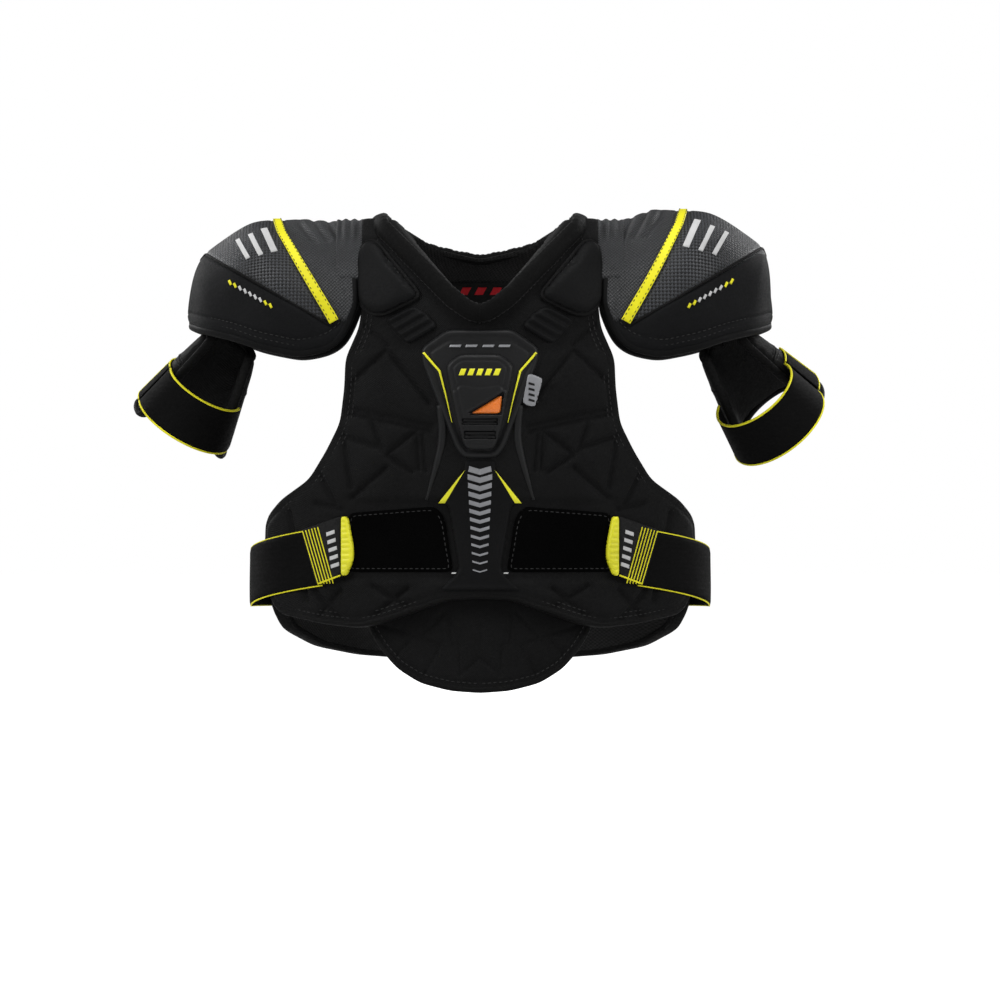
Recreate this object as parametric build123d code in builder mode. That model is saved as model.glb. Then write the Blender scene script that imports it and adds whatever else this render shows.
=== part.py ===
from build123d import *

import os
from functools import lru_cache
from math import cos, radians, sin

# Hockey shoulder pads: a chest and back vest with a neck roll, collarbone pads, a sternum guard,
# shoulder caps, upper-arm guards, a belly flap, and hook-and-loop waist and arm straps.
#
# Millimetres. +Z is up, -Y is out of the wearer's chest and +X is the wearer's left.
# The origin is the middle of the neck opening, level with the shoulder ridge.

# ---------------------------------------------------------------- driving dimensions
# The torso form is the wearer-side surface: ellipses of (height, half width, half depth).
# Below the first it is straight, so that the belly flap can slide in it.
FORM_SECTIONS = [(-285, 195, 96), (-210, 187, 101), (-138, 173, 105), (-74, 158, 99), (-37, 147, 84)]
FORM_BOTTOM = -445
RIDGE_HALF_WIDTH, RIDGE_HALF_DEPTH = 138, 57
VEST_THICKNESS = 14.0

# Layers, as (inner, outer) distances from the torso form.
LINER = (0.0, 2.0)
FOAM = (2.4, 9.4)
PLATE = (9.8, 11.4)
COVER = (11.8, VEST_THICKNESS)
WHOLE_VEST = (0.0, VEST_THICKNESS)
PATCH = (14.4, 16.0)
TAG = (18.8, 20.0)
RIB_BAND = (14.4, 17.5)
NECK_ROLL = (14.4, 25.0)
COLLARBONE = (14.6, 24.0)
STERNUM = (14.4, 18.4)
BOSS = (18.8, 25.0)
GEL = (18.8, 23.0)
STEM = (14.4, 17.0)
HOOK = (16.3, 16.8)
STRAP = (17.1, 19.1)
TAB = (17.1, 20.9)
TIP = (17.1, 22.1)
BELLY = (-11.5, -1.6)
BELLY_LOOP = (-1.2, -0.2)
LABEL = (-1.2, -0.3)

BINDING_WIDTH = 4.5
PIECE_GAP = 0.4
CORNER_RADIUS = 7.0
REACH = 260.0

# Vest outlines in front view, (x, z) from the middle outwards on the wearer's left.
CHEST_HALF = [
    (0, -349), (30, -350.5), (60, -361), (92, -372), (113, -376), (147, -372.5), (187, -364),
    (196, -351), (201, -308), (200, -276), (186, -259), (159, -240), (143, -214), (130, -188),
    (126, -156), (125, -129), (112, -100), (108, -60), (105, 0), (85, 0), (22, -68), (0, -84),
]
BACK_HALF = [
    (0, -408), (70, -408), (119, -404), (158, -396), (187, -380), (197, -360), (201, -322),
    (200, -280), (188, -262), (159, -240), (143, -214), (130, -188), (126, -156), (125, -129),
    (112, -100), (108, -60), (105, 0), (87, 0), (48, -23), (0, -33),
]
CHEST_PLATE_HALF = [(0, -324), (64, -331), (96, -304), (99, -175), (88, -116), (55, -101), (0, -129)]
SPINE_PLATE_HALF = [(0, -377), (42, -368), (53, -276), (57, -147), (37, -88), (0, -83)]

# Neck roll: a V in front and a U behind, both closed above the shoulder ridge.
NECK_FRONT_OUTER = [(0, -101), (26, -85), (102, -3), (102, 28)]
NECK_FRONT_INNER = [(0, -83), (21, -67), (83.5, 0), (83.5, 28)]
NECK_BACK_OUTER = [(0, -66), (55, -55), (102, -5), (102, 28)]
NECK_BACK_INNER = [(0, -30), (48, -20), (83.5, 0), (83.5, 28)]
LABEL_WIDTH, LABEL_HEIGHT, LABEL_MIDDLE = 77, 50, -98

COLLARBONE_OUTLINE = [
    (52.5, -72), (70, -81), (90, -90.5), (102, -87.5), (110.5, -78), (112, -53), (111, -29), (103, -18.5), (95, -18.5),
]
RIB_OUTLINE = [(87, -93.5), (65.5, -117), (37.5, -100), (49.5, -87), (61.5, -81)]

# Sternum guard, its raised boss with a gel window and two vents, and the stem below it.
STERNUM_HALF = [(0, -221), (15, -221), (23, -211), (53, -132), (54, -120), (30, -103), (0, -103)]
BOSS_HALF = [(0, -213), (13, -213), (20, -189), (30.5, -136), (19, -126), (0, -126)]
GEL_WINDOW = [(-8.5, -180), (18, -180), (20, -162)]
GEL_CLEARANCE = 0.5
VENT_SLOTS = [(-187.5, 32, 6), (-199.5, 27, 7.5)]
STEM_HALF = [
    (0, -342), (37, -342), (23, -328), (19, -322), (28.5, -264), (37, -261), (14.5, -232), (14, -222), (0, -222),
]
LOOP_PATCH = [(40, -265), (120, -271), (122, -325), (24, -325), (28, -303), (32, -276)]
SIDE_TAG = [(43, -144), (57, -148), (50, -176), (38, -172)]

# Waist straps: sewn to the back, split at the wearer's side, closed on the chest's loop patches.
WAIST_HINGE_Y = -33.0
WAIST_HINGE_GAP = 2.4
WAIST_STRAP_FRONT = [(216, -305), (160, -287.5), (146, -337.5), (216, -358)]
WAIST_STRAP_REAR = [(218, -305), (218, -357), (138, -357), (138, -305)]
WAIST_TAB = [(159.5, -287), (123.5, -273.5), (123.5, -329), (145.5, -337)]
WAIST_TIP = [(123, -273.5), (119, -274), (114, -302), (114, -314), (120, -329), (123, -329)]
HOOK_PATCH = [(154, -293), (126, -280), (126, -322), (143, -330)]

BELLY_HALF = [
    (0, -436), (30, -434), (60, -427), (83, -414), (100, -396), (113, -376), (111, -348), (99, -324), (0, -324),
]
BELLY_LOOP_SIZE = (37, 14)
BELLY_LOOP_PLACE = (41, -336)

# Shoulder cap: a half capsule about a line along X, thinned at its outer end, cut to a front-view outline.
CAP_AXIS_Z = -95.0
CAP_RADIUS = 95.5
CAP_INNER_END = 116.0
CAP_DOME_START = 190.0
CAP_DOME_REACH = 81.0
CAP_FLAT_ANGLE = 9.0
CAP_TOP = 18.0
CAP_COVER = (0.0, 2.2)
CAP_SHELL = (2.6, 4.8)
CAP_FOAM = (5.2, 11.0)
CAP_WHOLE = (0.0, 11.0)
CAP_RIM_WIDTH = 6.0
CAP_OUTLINE = [
    (CAP_INNER_END, CAP_TOP), (276, CAP_TOP), (276, -92), (267, -100), (227, -109.5), (203, -118),
    (167, -125.5), (143, -120.5), (130, -112), (121, -94), (CAP_INNER_END, -79),
]
CAP_TRIM = [(180, 11), (192, 11), (133.5, -104), (126, -93)]
CAP_TRIM_LAYER = (-0.9, -0.1)
WEB_INNER_RADIUS, WEB_OUTER_RADIUS = 81.0, 84.0
WEB_START, WEB_END = 113.0, 127.0
WEB_BOTTOM = -90.0

# Upper-arm guards hang from the caps at a different slant on each side. Angles go round the arm,
# from the wearer's left towards the back, and distances along the arm are measured down from its top.
GUARD_TOPS = {"right": (-232, 2, -114), "left": (226, 2, -113)}
GUARD_DOWN = {"right": (-0.50, 0.34, -0.80), "left": (0.56, 0.46, -0.69)}
GUARD_LENGTH = 98.0
GUARD_TOP_RADIUS, GUARD_BOTTOM_RADIUS = 17.0, 40.3
GUARD_LINER = (0.0, 1.6)
GUARD_FOAM = (1.9, 6.4)
GUARD_SHELL = (6.7, 8.3)
GUARD_COVER = (8.6, 10.2)
GUARD_ARC = (-28.0, 208.0)
GUARD_SHELL_ARC = (4.0, 176.0)
GUARD_SHELL_BAND = (12.0, 90.0)
ARM_STRAP_BAND = (46.0, 88.0)
ARM_STRAP_THICKNESS = 1.8
ARM_STRAP_LIFT = 0.6
SEWN_ANGLE = {"right": 332.0, "left": 208.0}
BULGE_ANGLE = {"right": 268.0, "left": 303.0}
BULGE = {"right": 6.0, "left": 28.0}
FOLD_ANGLE = {"right": 194.0, "left": 346.0}
TAB_SWEEP = {"right": -46.0, "left": 46.0}
TAB_START = 2.0


# ---------------------------------------------------------------- shared shapes
@lru_cache(maxsize=None)
def form(grown):
    """The torso form grown by a distance."""
    with BuildPart() as solid:
        height, half_width, half_depth = FORM_SECTIONS[0]
        with BuildSketch(Plane.XY.offset(height)):
            Ellipse(half_width + grown, half_depth + grown)
        extrude(amount=FORM_BOTTOM - height)
        for height, half_width, half_depth in FORM_SECTIONS:
            with BuildSketch(Plane.XY.offset(height)):
                Ellipse(half_width + grown, half_depth + grown)
        with BuildSketch(Plane.XY.offset(grown - VEST_THICKNESS)):
            Ellipse(RIDGE_HALF_WIDTH + grown, RIDGE_HALF_DEPTH + grown / 2)
        loft()
    return solid.part


def across(half):
    """A closed outline from its half on the wearer's left."""
    return half + [(-x, z) for x, z in reversed(half) if x > 0]


def flipped(points):
    """An outline's mirror image on the wearer's right."""
    return [(-x, z) for x, z in reversed(points)]


def outline(*shapes, radius=0.0):
    """Flat faces from one or more closed outlines, their corners rounded."""
    with BuildSketch() as faces:
        for points in shapes:
            with BuildLine():
                Polyline(*points, close=True)
            make_face()
        if radius:
            fillet(faces.vertices(), radius)
    return faces.sketch


def inside(face, margin):
    """A face whose edge lies a margin inside another's."""
    return offset(face, amount=-margin)


def vest_layer(layer):
    """Adds one layer of the vest, all round the torso, to the part being built."""
    inner, outer = layer
    add(form(outer))
    add(form(inner), mode=Mode.SUBTRACT)


def skirt_layer(layer):
    """Adds one layer of the form's straight lower part to the part being built."""
    top, half_width, half_depth = FORM_SECTIONS[0]
    inner, outer = layer
    with BuildSketch(Plane.XY.offset(FORM_BOTTOM)) as wall:
        Ellipse(half_width + outer, half_depth + outer)
        Ellipse(half_width + inner, half_depth + inner, mode=Mode.SUBTRACT)
    extrude(wall.sketch, amount=top - FORM_BOTTOM)


def keep(face, front=True, seam=PIECE_GAP / 2):
    """Trims the part being built to a front-view outline, in front of an upright plane or behind it."""
    side = 1 if front else -1
    with BuildSketch(Plane.XZ.offset(side * seam)) as cutter:
        add(face)
    extrude(cutter.sketch, amount=side * REACH, mode=Mode.INTERSECT)


def write(name, shape):
    """Labels a finished piece and writes its STEP file."""
    shape.label = name
    export_step(shape, f"parts/{name}.step")


def write_pair(name, shape):
    """Writes a piece for the wearer's left and its mirror image for the right."""
    write(f"{name}_left", shape)
    write(f"{name}_right", mirror(shape, about=Plane.YZ))


os.makedirs("parts", exist_ok=True)

# ---------------------------------------------------------------- vest
for side_name, half, plate_name, plate_half in (
    ("chest", CHEST_HALF, "chest_plate", CHEST_PLATE_HALF),
    ("back", BACK_HALF, "spine_plate", SPINE_PLATE_HALF),
):
    front = side_name == "chest"
    vest_face = outline(across(half), radius=CORNER_RADIUS)
    body_face = inside(vest_face, BINDING_WIDTH + PIECE_GAP)
    binding_face = vest_face - inside(vest_face, BINDING_WIDTH)
    plate_face = outline(across(plate_half), radius=CORNER_RADIUS)

    with BuildPart() as cover:
        vest_layer(COVER)
        keep(body_face, front)
    write(f"{side_name}_cover", cover.part)

    with BuildPart() as plate:
        vest_layer(PLATE)
        keep(plate_face, front)
    write(plate_name, plate.part)

    with BuildPart() as foam:
        vest_layer(FOAM)
        keep(body_face, front)
    write(f"{side_name}_foam", foam.part)

    with BuildPart() as liner:
        vest_layer(LINER)
        keep(body_face, front)
    write(f"{side_name}_liner", liner.part)

    with BuildPart() as binding:
        vest_layer(WHOLE_VEST)
        keep(binding_face, front)
    write(f"{side_name}_binding", binding.part)

# ---------------------------------------------------------------- neck roll and label
neck_front_face = outline(across(NECK_FRONT_OUTER)) - outline(across(NECK_FRONT_INNER))
neck_back_face = outline(across(NECK_BACK_OUTER)) - outline(across(NECK_BACK_INNER))

with BuildPart() as neck_roll_front:
    vest_layer(NECK_ROLL)
    keep(neck_front_face)
write("neck_roll_front", neck_roll_front.part)

with BuildPart() as neck_roll_back:
    vest_layer(NECK_ROLL)
    keep(neck_back_face, front=False)
write("neck_roll_back", neck_roll_back.part)

with BuildSketch() as label_face:
    with Locations((0, LABEL_MIDDLE)):
        RectangleRounded(LABEL_WIDTH, LABEL_HEIGHT, PIECE_GAP * 5)

with BuildPart() as neck_label:
    vest_layer(LABEL)
    keep(label_face.sketch, front=False)
write("neck_label", neck_label.part)

# ---------------------------------------------------------------- collarbone pads and ribbed bands
with BuildPart() as collarbone_pad:
    vest_layer(COLLARBONE)
    keep(outline(COLLARBONE_OUTLINE, radius=4))
write_pair("collarbone_pad", collarbone_pad.part)

with BuildPart() as rib_bands:
    vest_layer(RIB_BAND)
    keep(outline(RIB_OUTLINE, flipped(RIB_OUTLINE)))
write("rib_bands", rib_bands.part)

# ---------------------------------------------------------------- sternum guard
with BuildPart() as sternum_guard:
    vest_layer(STERNUM)
    keep(outline(across(STERNUM_HALF), radius=3))
write("sternum_guard", sternum_guard.part)

boss_openings = outline(GEL_WINDOW)
for slot_height, slot_width, slot_tall in VENT_SLOTS:
    boss_openings += Pos(0, slot_height) * Rectangle(slot_width, slot_tall)
boss_face = outline(across(BOSS_HALF), radius=2.5) - boss_openings

with BuildPart() as sternum_boss:
    vest_layer(BOSS)
    keep(boss_face)
write("sternum_boss", sternum_boss.part)

gel_face = inside(outline(GEL_WINDOW), GEL_CLEARANCE)

with BuildPart() as sternum_gel:
    vest_layer(GEL)
    keep(gel_face)
write("sternum_gel", sternum_gel.part)

with BuildPart() as sternum_stem:
    vest_layer(STEM)
    keep(outline(across(STEM_HALF)))
write("sternum_stem", sternum_stem.part)

# ---------------------------------------------------------------- patches and tag on the chest
with BuildPart() as loop_patches:
    vest_layer(PATCH)
    keep(outline(LOOP_PATCH, flipped(LOOP_PATCH)))
write("loop_patches", loop_patches.part)

with BuildPart() as side_tag:
    vest_layer(TAG)
    keep(outline(SIDE_TAG))
write("side_tag", side_tag.part)

# ---------------------------------------------------------------- waist straps
with BuildPart() as waist_strap_front:
    vest_layer(STRAP)
    keep(outline(WAIST_STRAP_FRONT), seam=WAIST_HINGE_GAP / 2 - WAIST_HINGE_Y)
write_pair("waist_strap_front", waist_strap_front.part)

with BuildPart() as waist_straps_rear:
    vest_layer(STRAP)
    keep(
        outline(WAIST_STRAP_REAR, flipped(WAIST_STRAP_REAR)),
        front=False,
        seam=WAIST_HINGE_GAP / 2 + WAIST_HINGE_Y,
    )
write("waist_straps_rear", waist_straps_rear.part)

with BuildPart() as waist_tab:
    vest_layer(TAB)
    keep(outline(WAIST_TAB))
write_pair("waist_tab", waist_tab.part)

with BuildPart() as waist_tip:
    vest_layer(TIP)
    keep(outline(WAIST_TIP))
write_pair("waist_tip", waist_tip.part)

with BuildPart() as waist_hook:
    vest_layer(HOOK)
    keep(outline(HOOK_PATCH))
write_pair("waist_hook", waist_hook.part)

# ---------------------------------------------------------------- belly flap
belly_face = outline(across(BELLY_HALF), radius=CORNER_RADIUS)
belly_body_face = inside(belly_face, BINDING_WIDTH + PIECE_GAP)
belly_binding_face = belly_face - inside(belly_face, BINDING_WIDTH)

with BuildPart() as belly_pad:
    skirt_layer(BELLY)
    keep(belly_body_face)
write("belly_pad", belly_pad.part)

with BuildPart() as belly_binding:
    skirt_layer(BELLY)
    keep(belly_binding_face)
write("belly_binding", belly_binding.part)

with BuildSketch() as belly_loop_face:
    with Locations(BELLY_LOOP_PLACE, flipped([BELLY_LOOP_PLACE])[0]):
        Rectangle(*BELLY_LOOP_SIZE)

with BuildPart() as belly_loops:
    skirt_layer(BELLY_LOOP)
    keep(belly_loop_face.sketch)
write("belly_loops", belly_loops.part)


# ---------------------------------------------------------------- shoulder caps
def capsule_profile(depth):
    """The half profile of the capsule whose surface lies a depth inside the cap's outside."""
    radius = CAP_RADIUS - depth
    reach = CAP_DOME_REACH - depth
    foot, dome_foot = Vector(CAP_INNER_END, CAP_AXIS_Z), Vector(CAP_DOME_START, CAP_AXIS_Z)
    rise = Vector(0, radius)
    with BuildSketch() as profile:
        with BuildLine():
            dome = EllipticalCenterArc(
                dome_foot, reach, radius, start_angle=CAP_FLAT_ANGLE, arc_size=90 - CAP_FLAT_ANGLE
            )
            Polyline(dome @ 0, ((dome @ 0).X, CAP_AXIS_Z), foot, foot + rise, dome @ 1)
        make_face()
    return profile.sketch


def cap_layer(layer, face):
    """Adds one layer of the cap, trimmed to a front-view outline, to the part being built."""
    near, far = (capsule_profile(depth) for depth in layer)
    with BuildSketch(Plane.XZ) as wall:
        add(near)
        add(far, mode=Mode.SUBTRACT)
    revolve(wall.sketch, axis=Axis((0, 0, CAP_AXIS_Z), (1, 0, 0)))
    with BuildSketch(Plane.XZ) as cutter:
        add(face)
    extrude(cutter.sketch, amount=REACH, both=True, mode=Mode.INTERSECT)


cap_face = outline(CAP_OUTLINE)
cap_body_face = inside(cap_face, CAP_RIM_WIDTH + PIECE_GAP)
cap_rim_face = cap_face - inside(cap_face, CAP_RIM_WIDTH)

with BuildPart() as cap_cover:
    cap_layer(CAP_COVER, cap_body_face)
write_pair("cap_cover", cap_cover.part)

with BuildPart() as cap_shell:
    cap_layer(CAP_SHELL, cap_body_face)
write_pair("cap_shell", cap_shell.part)

with BuildPart() as cap_foam:
    cap_layer(CAP_FOAM, cap_body_face)
write_pair("cap_foam", cap_foam.part)

with BuildPart() as cap_rim:
    cap_layer(CAP_WHOLE, cap_rim_face)
write_pair("cap_rim", cap_rim.part)

with BuildPart() as cap_trim:
    cap_layer(CAP_TRIM_LAYER, outline(CAP_TRIM))
    split(bisect_by=Plane.XZ, keep=Keep.TOP)
write_pair("cap_trim", cap_trim.part)

with BuildPart() as shoulder_webs:
    with BuildSketch(Plane.YZ.offset(WEB_START)):
        with Locations((0, CAP_AXIS_Z)):
            Circle(WEB_OUTER_RADIUS)
            Circle(WEB_INNER_RADIUS, mode=Mode.SUBTRACT)
    extrude(amount=WEB_END - WEB_START)
    split(bisect_by=Plane.XY.offset(WEB_BOTTOM), keep=Keep.TOP)
    mirror(about=Plane.YZ)
write("shoulder_webs", shoulder_webs.part)


# ---------------------------------------------------------------- upper-arm guards
def guard_plane(side, along):
    """The plane across an arm at a distance down it, its y axis to the back."""
    up = Vector(*GUARD_DOWN[side]).normalized() * -1
    lateral = (Vector(1, 0, 0) - up * up.X).normalized()
    return Plane(origin=GUARD_TOPS[side], x_dir=lateral, z_dir=up).offset(-along)


def guard_radius(along):
    """The guard's inside radius at a distance down the arm."""
    return GUARD_TOP_RADIUS + (GUARD_BOTTOM_RADIUS - GUARD_TOP_RADIUS) * along / GUARD_LENGTH


def polar(radius, angle):
    """A point on a plane from its distance and its angle in degrees."""
    return Vector(radius * cos(radians(angle)), radius * sin(radians(angle)))


def sector(plane, radii, arc):
    """A ring sector between two radii and two angles."""
    inner, outer = radii
    with BuildSketch(plane) as face:
        with BuildLine():
            near = CenterArc((0, 0), inner, arc[0], arc[1] - arc[0])
            far = CenterArc((0, 0), outer, arc[0], arc[1] - arc[0])
            Line(near @ 0, far @ 0)
            Line(near @ 1, far @ 1)
        make_face()
    return face.sketch


def guard_wall(side, layer, arc, band):
    """Adds a tapered wall of the guard, between two distances down the arm, to the part being built."""
    sections = []
    for along in band:
        inner, outer = (guard_radius(along) + distance for distance in layer)
        sections.append(sector(guard_plane(side, along), (inner, outer), arc))
    loft(sections, ruled=True)


def strap_section(side, along):
    """The slack strap across the guard's opening, from its sewn edge to its fold."""
    outside = guard_radius(along) + GUARD_COVER[1] + ARM_STRAP_LIFT
    sewn = polar(outside, SEWN_ANGLE[side])
    bulge = polar(outside + BULGE[side], BULGE_ANGLE[side])
    fold = polar(outside, FOLD_ANGLE[side])
    outwards = [point.normalized() * ARM_STRAP_THICKNESS for point in (sewn, bulge, fold)]
    with BuildSketch(guard_plane(side, along)) as face:
        with BuildLine():
            ThreePointArc(sewn, bulge, fold)
            Line(fold, fold + outwards[2])
            ThreePointArc(fold + outwards[2], bulge + outwards[1], sewn + outwards[0])
            Line(sewn + outwards[0], sewn)
        make_face()
    return face.sketch


GUARD_WHOLE_BAND = (0.0, GUARD_LENGTH)
GUARD_WALLS = {
    "arm_liner": (GUARD_LINER, GUARD_ARC, GUARD_WHOLE_BAND),
    "arm_foam": (GUARD_FOAM, GUARD_ARC, GUARD_WHOLE_BAND),
    "arm_shell": (GUARD_SHELL, GUARD_SHELL_ARC, GUARD_SHELL_BAND),
    "arm_cover": (GUARD_COVER, GUARD_ARC, GUARD_WHOLE_BAND),
}

for side in GUARD_TOPS:
    for name, (layer, arc, band) in GUARD_WALLS.items():
        with BuildPart() as wall:
            guard_wall(side, layer, arc, band)
        write(f"{name}_{side}", wall.part)

    with BuildPart() as arm_strap:
        loft([strap_section(side, along) for along in ARM_STRAP_BAND], ruled=True)
    write(f"arm_strap_{side}", arm_strap.part)

    tab_inner = GUARD_COVER[1] + ARM_STRAP_LIFT
    turn = 1 if TAB_SWEEP[side] > 0 else -1
    tab_arc = (FOLD_ANGLE[side] + turn * TAB_START, FOLD_ANGLE[side] + TAB_SWEEP[side])
    with BuildPart() as arm_tab:
        guard_wall(side, (tab_inner, tab_inner + ARM_STRAP_THICKNESS), tab_arc, ARM_STRAP_BAND)
    write(f"arm_tab_{side}", arm_tab.part)
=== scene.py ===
"""Ice-hockey shoulder pads: a padded vest with shoulder caps, arm guards, straps and trims."""
import logging
import math
from dataclasses import dataclass
from enum import Enum
from typing import Callable, Optional, Sequence

import bmesh
import bpy
import numpy as np
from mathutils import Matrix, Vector
from mathutils.bvhtree import BVHTree


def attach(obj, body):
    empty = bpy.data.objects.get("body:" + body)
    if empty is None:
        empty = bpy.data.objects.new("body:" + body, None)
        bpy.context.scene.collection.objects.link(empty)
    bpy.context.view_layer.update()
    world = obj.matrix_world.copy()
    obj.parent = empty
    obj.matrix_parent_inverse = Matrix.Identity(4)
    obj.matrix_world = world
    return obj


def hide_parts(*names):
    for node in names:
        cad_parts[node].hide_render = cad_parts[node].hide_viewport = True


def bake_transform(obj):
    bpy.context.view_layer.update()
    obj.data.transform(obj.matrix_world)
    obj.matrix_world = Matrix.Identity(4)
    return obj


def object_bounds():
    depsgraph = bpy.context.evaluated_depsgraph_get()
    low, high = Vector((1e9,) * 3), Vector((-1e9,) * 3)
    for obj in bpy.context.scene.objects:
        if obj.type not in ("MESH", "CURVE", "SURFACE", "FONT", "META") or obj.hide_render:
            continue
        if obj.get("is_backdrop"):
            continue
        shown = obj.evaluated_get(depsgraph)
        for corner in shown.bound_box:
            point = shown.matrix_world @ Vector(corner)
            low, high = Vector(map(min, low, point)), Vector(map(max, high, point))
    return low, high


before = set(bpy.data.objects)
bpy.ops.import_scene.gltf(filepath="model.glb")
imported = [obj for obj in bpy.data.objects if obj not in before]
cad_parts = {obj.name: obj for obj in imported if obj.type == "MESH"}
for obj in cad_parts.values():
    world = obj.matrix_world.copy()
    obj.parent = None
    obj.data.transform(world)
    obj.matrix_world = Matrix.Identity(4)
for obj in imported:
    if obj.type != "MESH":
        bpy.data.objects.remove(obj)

LOG = logging.getLogger("shoulder_pads")
MM = 0.001
Outline = Sequence[tuple[float, float]]
Array = np.ndarray
Colour = tuple[float, float, float]


# ---------------------------------------------------------------- plain geometry helpers
def spaced(points: Sequence, step: float, closed: bool = False) -> Array:
    """Divide a path into even lengths.

    Args:
        points: Corners of the path.
        step: Distance wanted between points.
        closed: Whether the last corner joins the first.

    Returns:
        The evenly spaced points.
    """
    corners = np.asarray(points, float)
    if closed:
        corners = np.vstack([corners, corners[:1]])
    lengths = np.r_[0.0, np.cumsum(np.linalg.norm(np.diff(corners, axis=0), axis=1))]
    count = max(3, int(round(lengths[-1] / step)) + 1)
    marks = np.linspace(0.0, lengths[-1], count)
    if closed:
        marks = marks[:-1]
    return np.column_stack([np.interp(marks, lengths, corners[:, k]) for k in range(corners.shape[1])])


def softened(points: Sequence, reach: float, step: float = 2.5, closed: bool = True) -> Array:
    """Round the corners of a path by averaging along it.

    Args:
        points: Corners of the path.
        reach: Distance over which a corner is rounded.
        step: Distance between the points returned.
        closed: Whether the path is a loop.

    Returns:
        The rounded, evenly spaced path.
    """
    path = spaced(points, step, closed)
    width = max(1, int(reach / step))
    for _ in range(2):
        if closed:
            path = sum(np.roll(path, k, axis=0) for k in range(-width, width + 1)) / (2 * width + 1)
        else:
            padded = np.vstack([np.repeat(path[:1], width, 0), path, np.repeat(path[-1:], width, 0)])
            sums = sum(padded[k:k + len(path)] for k in range(2 * width + 1))
            middle = sums / (2 * width + 1)
            middle[0], middle[-1] = path[0], path[-1]
            path = middle
    return path


def mirrored(half: Outline) -> list[tuple[float, float]]:
    """Close an outline from its half on the wearer's left."""
    return list(half) + [(-x, z) for x, z in reversed(half) if x > 0]


def flipped(points: Outline, side: int) -> list[tuple[float, float]]:
    """Put an outline on one side: 1 is the wearer's left, -1 the right."""
    return [(side * x, z) for x, z in points]


def slanted(x: float, z: float, width: float, height: float, lean: float = 0.0) -> list[tuple[float, float]]:
    """Give the corners of a block.

    Args:
        x: Middle of the block, across.
        z: Middle of the block, up.
        width: Width of the block.
        height: Height of the block.
        lean: Shift of the top and of the bottom, in opposite directions.

    Returns:
        The four corners, from the bottom.
    """
    low, high = z - height / 2, z + height / 2
    left, right = x - width / 2, x + width / 2
    return [(left - lean, low), (right - lean, low), (right + lean, high), (left + lean, high)]


def nearest(points: Array, path: Array, closed: bool) -> tuple[Array, Array, Array]:
    """Measure flat points against a path.

    Args:
        points: Flat points, one a row.
        path: Points of the path.
        closed: Whether the path is a loop.

    Returns:
        Distances, nearest points on the path, and whether each point is inside the loop.
    """
    start = path if closed else path[:-1]
    end = np.roll(path, -1, axis=0) if closed else path[1:]
    run = end - start
    squared = np.maximum((run**2).sum(1), 1e-9)
    distance, close = np.empty(len(points)), np.empty((len(points), 2))
    within = np.zeros(len(points), bool)
    chunk = 3000
    for first in range(0, len(points), chunk):
        p = points[first:first + chunk, None, :]
        share = np.clip(((p - start) * run).sum(2) / squared, 0, 1)
        q = start + share[..., None] * run
        gap = ((p - q)**2).sum(2)
        best = gap.argmin(1)
        rows = np.arange(len(best))
        distance[first:first + chunk] = np.sqrt(gap[rows, best])
        close[first:first + chunk] = q[rows, best]
        if closed:
            spans = (start[:, 1] > p[..., 1]) != (end[:, 1] > p[..., 1])
            rise = np.where(np.abs(run[:, 1]) < 1e-9, 1e-9, run[:, 1])
            across = start[:, 0] + run[:, 0] * (p[..., 1] - start[:, 1]) / rise
            within[first:first + chunk] = (spans & (p[..., 0] < across)).sum(1) % 2 == 1
    return distance, close, within


def grid_quads(rows: int, columns: int) -> Array:
    """Number the quads of a grid whose points run along its rows."""
    i, j = np.meshgrid(np.arange(rows - 1), np.arange(columns - 1), indexing="ij")
    a = (i * columns + j).ravel()
    return np.column_stack([a, a + 1, a + columns + 1, a + columns])


def closed_shell(outer: Array, inner: Array, quads: Array) -> tuple[Array, Array]:
    """Join two matching sheets into one closed solid.

    Args:
        outer: Points of the outer sheet.
        inner: Points of the inner sheet, in the same order.
        quads: Quads of the outer sheet.

    Returns:
        The points and quads of the solid.
    """
    count = len(outer)
    edges = np.vstack([quads[:, [k, (k + 1) % 4]] for k in range(4)])
    _, first, uses = np.unique(np.sort(edges, axis=1), axis=0, return_index=True, return_counts=True)
    rim = edges[first[uses == 1]]
    walls = np.column_stack([rim[:, 1], rim[:, 0], rim[:, 0] + count, rim[:, 1] + count])
    return np.vstack([outer, inner]), np.vstack([quads, quads[:, ::-1] + count, walls])


def unit(vectors: Array) -> Array:
    """Scale each row to length one."""
    return vectors / np.maximum(np.linalg.norm(vectors, axis=-1, keepdims=True), 1e-9)


def rounded_section(width: float, height: float, squareness: float = 2.0, count: int = 12) -> Array:
    """Make a cross-section between an oval and a rounded rectangle.

    Args:
        width: Full width.
        height: Full height.
        squareness: 2 is an oval; larger is squarer.
        count: Number of points.

    Returns:
        The section's points.
    """
    turn = np.linspace(0, 2 * np.pi, count, endpoint=False) + np.pi / count
    c, s = np.cos(turn), np.sin(turn)
    power = 2.0 / squareness
    return np.column_stack(
        [np.sign(c) * np.abs(c)**power * width / 2, np.sign(s) * np.abs(s)**power * height / 2]
    )


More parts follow.
